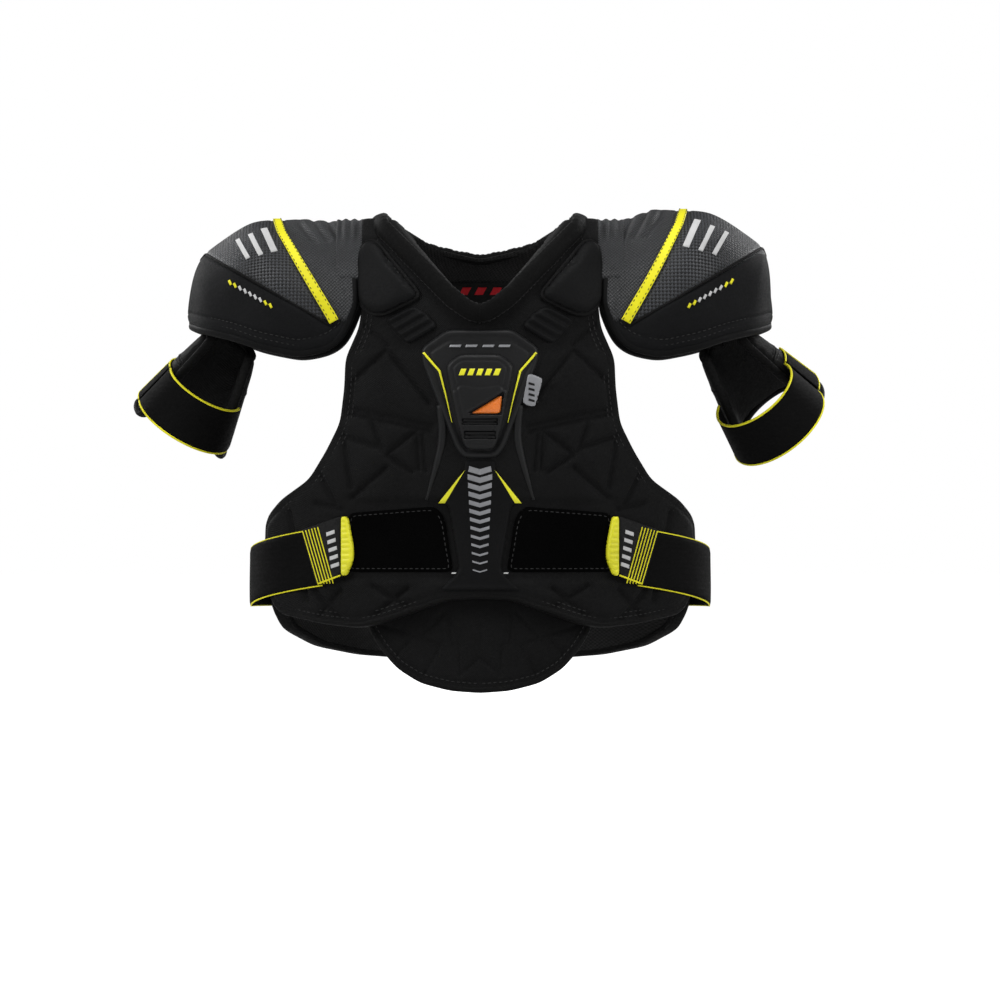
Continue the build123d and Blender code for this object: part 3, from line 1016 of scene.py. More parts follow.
def tile(
    form: TorsoForm, corners: Outline, low: float, high: float, face: Face = Face.FRONT,
) -> tuple[Array, Array]:
    """Build a thin crisp four-cornered plate that follows the form.

    Args:
        form: The torso form.
        corners: Its four front-view corners, in order.
        low: Distance of its underside outside the body.
        high: Distance of its top outside the body.
        face: Front or back.

    Returns:
        The points and quads of the plate.
    """
    a, b, c, d = (np.array(corner, float) for corner in corners)
    s, t = (v.ravel()[:, None] for v in np.meshgrid(np.linspace(0, 1, 9), np.linspace(0, 1, 7)))
    places = (a * (1 - s) + b * s) * (1 - t) + (d * (1 - s) + c * s) * t
    bearing = form.bearing(places[:, 0], places[:, 1])
    sheets = [form.point(bearing, places[:, 1], np.full(len(places), grown), face) for grown in (high, low)]
    return closed_shell(sheets[0], sheets[1], grid_quads(7, 9))


@dataclass(frozen=True)
class Patch:
    """A fine grid cut to an outline on the form."""

    bearing: Array
    places: Array
    edge: Array
    quads: Array
    loop: Array


def cut_patch(form: TorsoForm, outline: Outline, step: float, corner: float = 6.0) -> Patch:
    """Cut a grid to a front-view outline.

    Args:
        form: The torso form.
        outline: The outline's x and z.
        step: Spacing of the grid.
        corner: Distance over which the outline's corners are rounded.

    Returns:
        The patch.
    """
    loop = softened(outline, corner, step=2.0)
    flat = np.column_stack([form.bearing(loop[:, 0], loop[:, 1]) * form.unroll, loop[:, 1]])
    low, high = flat.min(0) - step, flat.max(0) + step
    columns = int((high[0] - low[0]) / step) + 2
    rows = int((high[1] - low[1]) / step) + 2
    across, up = np.meshgrid(low[0] + step * np.arange(columns), low[1] + step * np.arange(rows))
    points = np.column_stack([across.ravel(), up.ravel()])
    distance, close, within = nearest(points, flat, True)
    signed = np.where(within, distance, -distance)
    quads = grid_quads(rows, columns)
    quads = quads[signed[quads].mean(1) > 0]
    used, renumbered = np.unique(quads, return_inverse=True)
    quads = renumbered.reshape(-1, 4)
    points, signed, close = points[used], signed[used], close[used]
    snapped = signed < 0.5 * step
    points[snapped] = close[snapped]
    bearing = points[:, 0] / form.unroll
    half_width, _ = form.half_axes(points[:, 1], np.full(len(points), form.vest_thickness))
    places = np.column_stack([half_width * np.sin(bearing), points[:, 1]])
    return Patch(bearing, places, np.where(snapped, 0.0, signed), quads, loop)


@dataclass
class Layer:
    """A pad or sheet that lies on the torso form between two distances."""

    form: TorsoForm
    outline: Outline
    inner: float
    outer: float
    face: Face = Face.FRONT
    step: float = 2.4
    round_width: float = 4.0
    round_drop: float = 1.5
    corner: float = 6.0
    relief: Optional[Callable[[Array, Array], Array]] = None

    def solid(self) -> tuple[Array, Array]:
        """Build the closed solid of the layer.

        Returns:
            The points and the faces.
        """
        patch = cut_patch(self.form, self.outline, self.step, self.corner)
        height = self.outer - edge_round(patch.edge, self.round_width, self.round_drop)
        if self.relief:
            height = height + self.relief(patch.places, patch.edge)
        outer = self.form.point(patch.bearing, patch.places[:, 1], height, self.face)
        inner = self.form.point(patch.bearing, patch.places[:, 1], np.full(len(height), self.inner), self.face)
        return closed_shell(outer, inner, patch.quads)

    def border(self, inset: float, grown: float) -> tuple[Array, Array]:
        """Give a line parallel to the outline.

        Args:
            inset: Distance in from the outline.
            grown: Distance outside the body.

        Returns:
            The points and the outward directions, closed on themselves.
        """
        loop = softened(self.outline, self.corner, step=2.5)
        tangent = unit(np.roll(loop, -1, axis=0) - np.roll(loop, 1, axis=0))
        inward = np.column_stack([-tangent[:, 1], tangent[:, 0]])
        probe = loop + inward
        _, _, within = nearest(probe, loop, True)
        if within.mean() < 0.5:
            inward = -inward
        return self.form.line(loop + inward * inset, grown, self.face)


# ---------------------------------------------------------------- the vest
ARMHOLE: Outline = (
    (159, -240), (143, -214), (130, -188), (126, -156), (125, -129), (112, -100), (108, -60), (105, 0),
)


@dataclass
class Vest:
    """The front and back panels of the vest, with their linings, bindings and quilting."""

    form: TorsoForm
    chest_half: Outline = (
        (0, -349), (30, -350.5), (60, -361), (92, -372), (113, -376), (147, -372.5), (187, -364), (196, -351),
        (201, -308), (200, -276), (186, -259), *ARMHOLE, (85, 0), (22, -68), (0, -84),
    )
    back_half: Outline = (
        (0, -408), (70, -408), (119, -404), (158, -396), (187, -380), (197, -360), (201, -322), (200, -280),
        (188, -262), *ARMHOLE, (87, 0), (48, -23), (0, -33),
    )
    chest_quilting: tuple = (
        ((118, -151), (86, -122)), ((107, -98), (85, -117)), ((84, -124), (46, -170)),
        ((120, -175), (43, -191)), ((121, -180), (45, -196)), ((103, -178), (90, -213)),
        ((126, -200), (92, -211)), ((56, -194), (86, -217)), ((86, -217), (62, -233)),
        ((125, -205), (118, -248)), ((146, -237), (133, -263)), ((86, -229), (118, -257)),
        ((53, -199), (50, -232)), ((58, -199), (56, -231)), ((118, -151), (120, -175)),
        ((86, -122), (84, -124)), ((150, -262), (128, -268)), ((176, -270), (160, -350)),
        ((66, -340), (98, -366)), ((98, -338), (66, -358)), ((128, -342), (150, -368)),
        ((152, -342), (128, -370)),
    )
    back_quilting: tuple = (
        ((0, -60), (48, -95)), ((48, -95), (60, -160)), ((60, -160), (52, -290)), ((52, -290), (40, -378)),
        ((60, -160), (118, -150)), ((60, -160), (122, -196)), ((56, -215), (134, -208)),
        ((54, -262), (140, -226)), ((54, -262), (178, -272)), ((50, -318), (185, -300)),
        ((50, -318), (150, -375)), ((96, -240), (120, -290)), ((0, -118), (40, -140)), ((0, -150), (42, -172)),
        ((0, -182), (42, -204)), ((0, -214), (42, -236)), ((0, -246), (40, -268)), ((0, -278), (38, -300)),
        ((0, -310), (34, -332)), ((80, -100), (100, -60)),
    )
    groove_width: float = 2.3
    groove_depth: float = 2.7
    crown: float = 2.4
    binding_width: float = 7.0
    binding_height: float = 15.4

    def quilting(self, lines: tuple, places: Array, edge: Array, face: Face) -> Array:
        """Sink the quilted grooves, and let the cloth rise a little between them.

        Args:
            lines: Grooves on the wearer's left; the right has the same.
            places: Front-view places of the surface.
            edge: Distance of each from the panel's edge.
            face: Front or back; the front lies flat under its pads and patches.

        Returns:
            The change of height.
        """
        side = np.column_stack([np.abs(places[:, 0]), places[:, 1]])
        closest = np.full(len(places), 1e9)
        for line in lines:
            distance, _, _ = nearest(side, np.asarray(line, float), False)
            closest = np.minimum(closest, distance)
        groove = -self.groove_depth * np.exp(-(closest / self.groove_width)**2)
        swell = self.crown * np.clip(closest / 16.0, 0, 1)**0.6
        if face is Face.FRONT:
            clear = np.maximum(
                np.clip((np.abs(side[:, 1] + 296) - 34) / 6, 0, 1), np.clip((side[:, 0] - 126) / 8, 0, 1),
            )
            swell = swell * clear * np.clip((-120 - side[:, 1]) / 8, 0, 1)
        wave = np.sin(places[:, 0] / 13.0 + 1.7 * np.sin(places[:, 1] / 21.0))
        ripple = 0.35 * wave * np.sin(places[:, 1] / 11.0)
        seam = -0.9 * np.exp(-((edge - 8.5) / 1.5)**2)
        return (groove + swell + ripple) * np.clip(edge / 14.0, 0, 1) + seam

    def panel(self, maker: Maker, name: str, half: Outline, lines: tuple, face: Face) -> None:
        """Build one panel with its cover, lining, binding and stitching.

        Args:
            maker: Makes the pieces.
            name: chest or back.
            half: The panel's outline on the wearer's left.
            lines: Its quilted grooves.
            face: Front or back.
        """
        plates = {"chest": "chest_plate", "back": "spine_plate"}
        body = Layer(
            self.form, mirrored(half), 2.0, self.form.vest_thickness, face,
            step=1.7, round_width=7.0, round_drop=3.0,
            relief=lambda places, edge: self.quilting(lines, places, edge, face),
        )
        cover = maker.piece(
            f"{name}_quilted_panel", Shape().add(body.solid()), ["shell_knit"], "torso",
            [f"{name}_cover", f"{name}_foam", plates[name]], "knit_fabric",
        )
        lining = Layer(
            self.form, mirrored(half), 0.0, 2.0, face, step=3.2, round_width=1.0, round_drop=0.2,
        )
        maker.piece(
            f"{name}_lining", Shape().add(lining.solid()), ["liner_mesh"], "torso", [f"{name}_liner"],
            "liner_fabric",
        )
        edge_line, out = body.border(self.binding_width * 0.38, self.form.vest_thickness / 2)
        tape = Shape().add(
            swept(
                edge_line, out, rounded_section(self.binding_width, self.binding_height, 2.6, 14), closed=True,
            )
        )
        for inset in (self.binding_width + 0.6, self.binding_width + 4.6):
            row, away = body.border(inset, self.form.vest_thickness + 0.15)
            stitches(tape, row, away, 1)
        maker.piece(
            f"{name}_edge_tape", tape, ["binding_tape", "black_thread"], "torso", [f"{name}_binding"],
            "binding_tape",
        )

    def shoulder_saddles(self, maker: Maker) -> None:
        """Build the pads over the shoulders that join the two panels.

        Args:
            maker: Makes the pieces.
        """
        shape = Shape()
        for side in (1, -1):
            across, along = np.meshgrid(np.linspace(84, 109, 13), np.linspace(-66, 66, 53))
            drop = 19.0 * (np.clip(np.abs(along) - 48, 0, None) / 18)**1.5
            rise = 1.6 - drop - 1.2 * ((across - 96.5) / 12.5)**4
            pleat = -0.8 * np.exp(-((np.abs(along) - 34) / 1.6)**2)
            outer = np.column_stack([side * across.ravel(), along.ravel(), (rise + pleat).ravel()])
            inner = outer - np.array([0, 0, 12.0])
            shape.add(closed_shell(outer, inner, grid_quads(53, 13)))
        maker.piece("shoulder_saddles", shape, ["shell_knit"], "torso")

    def neck_label(self, maker: Maker) -> None:
        """Build the woven label inside the back, with plain blocks of colour.

        Args:
            maker: Makes the pieces.
        """
        label = Shape()
        half_width, top, bottom = 38.0, -54.0, -103.0
        base = [(-half_width, bottom), (half_width, bottom), (half_width, top), (-half_width, top)]
        label.add(Layer(self.form, base, -1.3, -0.3, Face.BACK, 2.5, 1.0, 0.2, 1.0).solid(), 0)
        blocks = [(x, -62.0, 9.0, 7.0, 1) for x in (-16.0, 0.0, 16.0)]
        blocks += [(x, -77.0, 13.0, 6.0, 2) for x in (-24.0, -8.0, 8.0, 24.0)]
        blocks += [(0.0, -90.0, 56.0, 1.6, 2), (0.0, -95.0, 40.0, 1.6, 2)]
        for x, z, width, height, kind in blocks:
            corners = slanted(x, z, width, height, height * 0.3)
            label.add(tile(self.form, corners, -1.8, -1.2, Face.BACK), kind)
        maker.piece(
            "neck_woven_label", label, ["woven_label", "red_print", "silver_print"], "torso", ["neck_label"],
            "woven_label",
        )

    def side_tag(self, maker: Maker) -> None:
        """Build the small silver tag on the wearer's left, slightly curled.

        Args:
            maker: Makes the pieces.
        """
        corners = [(43, -143), (56, -147.5), (49, -174), (38, -171)]
        tag = Shape()
        curl = lambda places, edge: 0.9 * np.sin((places[:, 0] - 43) / 5.0)
        tag.add(Layer(self.form, corners, 18.6, 19.6, Face.FRONT, 1.0, 0.6, 0.2, 1.2, curl).solid(), 0)
        for z in (-151.0, -156.0, -161.0, -166.0):
            bar = [(43.5, z), (52.0, z - 2.6), (51.6, z - 4.6), (43.0, z - 2.0)]
            tag.add(tile(self.form, bar, 19.3, 20.4), 1)
        maker.piece(
            "side_silver_tag", tag, ["silver_print", "woven_label"], "torso", ["side_tag"], "silver_tag",
        )

    def build(self, maker: Maker) -> None:
        """Build the whole vest.

        Args:
            maker: Makes the pieces.
        """
        self.panel(maker, "chest", self.chest_half, self.chest_quilting, Face.FRONT)
        self.panel(maker, "back", self.back_half, self.back_quilting, Face.BACK)
        self.shoulder_saddles(maker)
        self.neck_label(maker)
        self.side_tag(maker)


@dataclass
class NeckRoll:
    """The padded roll round the neck opening: a narrow V in front and a broad band behind."""

    form: TorsoForm
    width: float = 19.0
    height: float = 10.0
    grown: float = 18.6
    front: Outline = ((0, -92), (24, -75.5), (60, -37), (90, -5))
    back: Outline = ((90, -4), (52, -28), (0, -39))
    saddle_height: float = 1.6
    saddle_reach: float = 42.0

    def centre_line(self) -> tuple[Array, Array]:
        """Give the roll's closed centre line and its outward directions.

        Returns:
            The points and the outward directions.
        """
        ahead, ahead_out = self.form.line(spaced(self.front, 4.0), self.grown, Face.FRONT)
        behind, behind_out = self.form.line(spaced(self.back, 4.0), self.grown, Face.BACK)
        over = np.linspace(-self.saddle_reach, self.saddle_reach, 18)
        top = np.column_stack([np.full(18, 92.5), over, np.full(18, self.saddle_height)])
        top_out = np.tile([0.35, 0.0, 1.0], (18, 1))
        half = np.vstack(
            [np.hstack([ahead, ahead_out]), np.hstack([top, top_out]), np.hstack([behind, behind_out])]
        )
        other = half[::-1][1:-1] * np.array([-1, 1, 1, -1, 1, 1])
        loop = softened(np.vstack([half, other]), 11.0, step=3.0)
        return loop[:, :3], unit(loop[:, 3:])

    def build(self, maker: Maker) -> None:
        """Build the roll, its seams and its stitching.

        Args:
            maker: Makes the pieces.
        """
        line, out = self.centre_line()
        behind = np.clip((line[:, 1] - 10) / 55.0, 0, 1)
        share = np.column_stack([1 + 0.28 * behind, 1 - 0.12 * behind])
        roll = maker.piece(
            "neck_padded_roll",
            Shape().add(
                swept(line, out, rounded_section(self.width, self.height, 2.3, 18), closed=True, scale=share)
            ),
            ["collar_velour"], "torso", ["neck_roll_front", "neck_roll_back"], "collar_fabric",
        )
        stuffed(roll, voxel=3.6, pressure=4.0, reach=2.6)
        seam = Shape()
        tangent = unit(np.roll(line, -1, axis=0) - np.roll(line, 1, axis=0))
        across = unit(np.cross(tangent, out))
        for shift, outward in ((0.40, 0.75), (-0.44, 0.75)):
            wide = self.width * share[:, :1]
            lean = unit(out * outward + across * np.sign(shift) * 0.65)
            row = laid_on(roll, line + across * shift * wide, lean, 0.1)
            stitches(seam, np.vstack([row, row[:1]]), np.vstack([lean, lean[:1]]), 0)
        for end, span in ((0, 9.0), (len(line) // 2, 8.0)):
            offsets = np.linspace(-span, span, 15)[:, None]
            ridge = laid_on(roll, line[end] + across[end] * offsets, np.tile(out[end], (15, 1)), 0.0)
            seam.add(swept(ridge, np.tile(out[end], (15, 1)), rounded_section(1.5, 1.0, count=8)), 1)
        maker.piece("neck_roll_seams", seam, ["black_thread", "collar_velour"], "torso")


@dataclass
class FrontPads:
    """The collarbone pads, rib bands and loop patches on the chest."""

    form: TorsoForm
    collarbone: Outline = (
        (52.5, -72), (70, -81), (90, -90.5), (102, -87.5), (110.5, -78), (112, -53), (111, -29), (103, -18.5),
        (95, -18.5),
    )
    ribs: Outline = ((87, -93.5), (65.5, -117), (37.5, -100), (49.5, -87), (61.5, -81))
    patch: Outline = ((40, -265), (120, -271), (122, -325), (24, -325), (28, -303), (32, -276))
    rib_pitch: float = 8.2

    def ridges(self, places: Array, edge: Array) -> Array:
        """Raise the moulded ridges that run along a rib band."""
        cross = np.abs(places[:, 0]) * 0.5 + places[:, 1] * 0.866
        fade = np.clip(edge / 3.0, 0, 1)
        return 1.25 * np.cos(2 * np.pi * cross / self.rib_pitch) * fade

    def build(self, maker: Maker) -> None:
        """Build the pads of both sides.

        Args:
            maker: Makes the pieces.
        """
        ribs, loops = Shape(), Shape()
        for side, word in ((1, "left"), (-1, "right")):
            outline = flipped(self.collarbone, side)
            pad = Layer(self.form, outline, 15.2, 22.0, Face.FRONT, 2.0, 11.0, 5.5, 7.0)
            piece = maker.piece(
                f"collarbone_cushion_{word}", Shape().add(pad.solid()), ["moulded_foam"], f"collarbone_{word}",
                [f"collarbone_pad_{word}"], "moulded_foam",
            )
            stuffed(piece, voxel=2.7, pressure=4.0, reach=1.8)
            lip = Shape()
            line, out = pad.border(1.0, 16.2)
            lip.add(swept(line, out, rounded_section(4.4, 2.6, 3.0), closed=True), 0)
            row, away = pad.border(2.6, 18.4)
            stitches(lip, row, away, 1)
            maker.piece(f"collarbone_lip_{word}", lip, ["binding_tape", "black_thread"], f"collarbone_{word}")
            ribs.add(
                Layer(
                    self.form, flipped(self.ribs, side), 14.2, 17.0, Face.FRONT, 1.1, 2.5, 1.8, 4.0,
                    self.ridges,
                ).solid()
            )
            nap = lambda places, edge: 0.25 * np.sin(places[:, 0] * 2.1) * np.sin(places[:, 1] * 1.7)
            loops.add(
                Layer(
                    self.form, flipped(self.patch, side), 14.4, 16.4, Face.FRONT, 1.8, 2.0, 1.2, 5.0, nap,
                ).solid(),
                0,
            )
            hem, away = Layer(self.form, flipped(self.patch, side), 14.4, 16.4).border(3.0, 16.5)
            stitches(loops, hem, away, 1)
        maker.piece("chest_rib_bands", ribs, ["moulded_foam"], "torso", ["rib_bands"], "moulded_foam")
        maker.piece(
            "chest_loop_patches", loops, ["loop_pile", "black_thread"], "torso", ["loop_patches"], "loop_pile",
        )


@dataclass
class Sternum:
    """The moulded sternum guard, its raised boss and gel, and the stem with its chevrons."""

    form: TorsoForm
    guard_half: Outline = ((0, -221), (15, -221), (23, -211), (53, -132), (54, -120), (30, -103), (0, -103))
    boss_half: Outline = ((0, -213), (13, -213), (20, -189), (30.5, -136), (19, -126), (0, -126))
    stem_half: Outline = (
        (0, -342), (37, -342), (23, -328), (19, -322), (28.5, -264), (37, -261), (14.5, -232), (14, -222),
        (0, -222),
    )
    gel: Outline = ((-8.5, -180), (18, -180), (20, -162))
    vents: tuple = ((-187.5, 32.0, 6.0), (-199.5, 27.0, 7.5))
    pipe: Outline = ((36, -172), (34.5, -186), (34, -204), (39.6, -227), (48.8, -259))
    chevron_count: int = 13
    chevron_top: float = -230.0
    chevron_bottom: float = -323.0

    def guard_relief(self, places: Array, edge: Array) -> Array:
        """Raise the piped flange and sink the channel inside it.

        Args:
            places: Front-view places of the surface.
            edge: Distance of each from the layer's edge.

        Returns:
            The change of height.
        """
        side = np.column_stack([np.abs(places[:, 0]), places[:, 1]])
        flange = 1.7 * np.exp(-((edge - 3.2) / 2.0)**2)
        channel = -0.8 * np.exp(-((edge - 7.5) / 1.6)**2)
        crease = flow_over(side, ((0, -116), (26, -112), (44, -122)), 1.4, -0.9)
        return flange + channel + crease

    def boss_relief(self, places: Array, edge: Array) -> Array:
        """Sink the gel window and the two vents into the boss, and groove its face.

        Args:
            places: Front-view places of the surface.
            edge: Distance of each from the layer's edge.

        Returns:
            The change of height.
        """
        window = np.array(self.gel, float)
        distance, _, within = nearest(places, window, True)
        depth = np.where(within | (distance < 1.2), -3.2, 0.0)
        for z, width, tall in self.vents:
            inside = (np.abs(places[:, 0]) < width / 2) & (np.abs(places[:, 1] - z) < tall / 2)
            depth = np.minimum(depth, np.where(inside, -3.6, 0.0))
        step = -0.9 * np.exp(-((edge - 5.0) / 1.1)**2)
        side = np.column_stack([np.abs(places[:, 0]), places[:, 1]])
        brow = flow_over(side, ((0, -156), (16, -153), (25, -160)), 1.3, -0.8)
        rim = 0.7 * np.exp(-((distance - 2.4) / 0.9)**2) * ~within
        return depth + step + brow + rim

    def bars(
        self, shape: Shape, places: Sequence, size: tuple[float, float, float], grown: float, kind: int,
    ) -> None:
        """Add small leaning bars to the surface.

        Args:
            shape: Shape that takes the bars.
            places: Middle of each bar.
            size: Width, height and lean of a bar.
            grown: Distance of the bars outside the body.
            kind: Number of their finish.
        """
        width, height, lean = size
        for x, z in places:
            shape.add(tile(self.form, slanted(x, z, width, height, lean / 2), grown - 1.0, grown), kind)

    def ribbon(self, shape: Shape, path: Outline, width: Array, grown: float, kind: int) -> None:
        """Lay a thin flat ribbon along a front-view path, with a width at each corner.

        Args:
            shape: Shape that takes the ribbon.
            path: Corners of the path.
            width: Width at each corner.
            grown: Distance outside the body.
            kind: Number of the finish.
        """
        corners = np.asarray(path, float)
        run = np.column_stack([corners, width])
        fine = spaced(run, 1.5)
        points, out = self.form.line(fine[:, :2], grown, Face.FRONT)
        scale = np.column_stack([fine[:, 2], np.ones(len(fine))])
        shape.add(swept(points, out, rounded_section(1.0, 0.7, 4.0, 8), scale=scale), kind)

    def build(self, maker: Maker) -> None:
        """Build the guard, boss, gel, stem and marks.

        Args:
            maker: Makes the pieces.
        """
        guard = Shape().add(
            Layer(
                self.form, mirrored(self.guard_half), 14.2, 17.6, Face.FRONT, 1.3, 3.0, 2.0, 5.0,
                self.guard_relief,
            ).solid()
        )
        for side in (1, -1):
            line, out = self.form.line(softened(flipped(self.pipe, side), 6.0, closed=False), 15.6, Face.FRONT)
            taper = np.clip(np.linspace(1.4, 0.3, len(line)), 0.3, 1.0)
            guard.add(swept(line, out, rounded_section(7.5, 6.0), scale=taper))
        maker.piece(
            "sternum_moulded_guard", guard, ["moulded_rubber"], "torso", ["sternum_guard"], "moulded_foam",
        )
        boss = Shape().add(
            Layer(
                self.form, mirrored(self.boss_half), 16.8, 24.0, Face.FRONT, 0.8, 5.5, 3.6, 4.0,
                self.boss_relief,
            ).solid()
        )
        for z, width, tall in self.vents:
            for share in (-0.25, 0.25):
                boss.add(tile(self.form, slanted(0.0, z + share * tall, width, 1.4), 19.5, 22.4))
        maker.piece(
            "sternum_raised_boss", boss, ["moulded_rubber"], "torso", ["sternum_boss"], "moulded_plastic",
        )
        facets = lambda places, edge: 0.9 * np.clip(edge / 3.5, 0, 1)
        gel = Shape().add(
            Layer(self.form, self.gel, 19.0, 22.3, Face.FRONT, 0.7, 1.5, 1.0, 1.5, facets).solid()
        )
        maker.piece("sternum_gel_window", gel, ["orange_gel"], "torso", ["sternum_gel"], "orange_gel")
        marks = Shape()
        for side in (1, -1):
            outer = [(side * 50.5, -124), (side * 36, -141), (side * 30, -165), (side * 25, -188)]
            self.ribbon(marks, outer, np.array([2.2, 2.0, 1.3, 0.6]), 18.9, 0)
        self.bars(marks, [(x, -142) for x in (-15.0, -7.5, 0.0, 7.5, 15.0)], (4.6, 6.0, 2.2), 24.3, 0)
        self.bars(marks, [(x, -118) for x in (-22.0, -7.5, 7.5, 22.0)], (10.0, 2.2, 1.0), 18.9, 1)
        maker.piece("sternum_marks", marks, ["yellow_rubber", "silver_print"], "torso")
        self.stem(maker)

    def stem(self, maker: Maker) -> None:
        """Build the stem below the guard, with chevrons that shrink downwards.

        Args:
            maker: Makes the pieces.
        """
        swell = lambda places, edge: 0.8 * np.exp(-((edge - 2.5) / 1.6)**2)
        stem = Shape().add(
            Layer(
                self.form, mirrored(self.stem_half), 14.2, 17.2, Face.FRONT, 1.3, 2.5, 1.6, 3.0, swell,
            ).solid(),
            0,
        )
        for share in np.linspace(0, 1, self.chevron_count):
            z = self.chevron_top + (self.chevron_bottom - self.chevron_top) * share
            reach = 11.5 + (6.5 - 11.5) * share
            thick = 5.4 + (1.2 - 5.4) * share
            drop = reach * 0.30
            for side in (1, -1):
                arm = [
                    (0, z - drop - thick / 2), (side * reach, z - thick / 2), (side * reach, z + thick / 2),
                    (0, z - drop + thick / 2),
                ]
                stem.add(tile(self.form, arm, 16.4, 17.7), 1)
        for side in (1, -1):
            wedge = [(side * 13.4, -231.5), (side * 25, -246), (side * 37.5, -262), (side * 31.5, -262)]
            stem.add(tile(self.form, wedge, 16.4, 18.0), 2)
            self.bars(stem, [(side * 23.5, -326)], (4.0, 1.2, 0.6), 17.9, 3)
        maker.piece(
            "sternum_stem_panel", stem, ["moulded_foam", "silver_print", "yellow_rubber", "white_print"],
            "torso", ["sternum_stem"], "moulded_foam",
        )


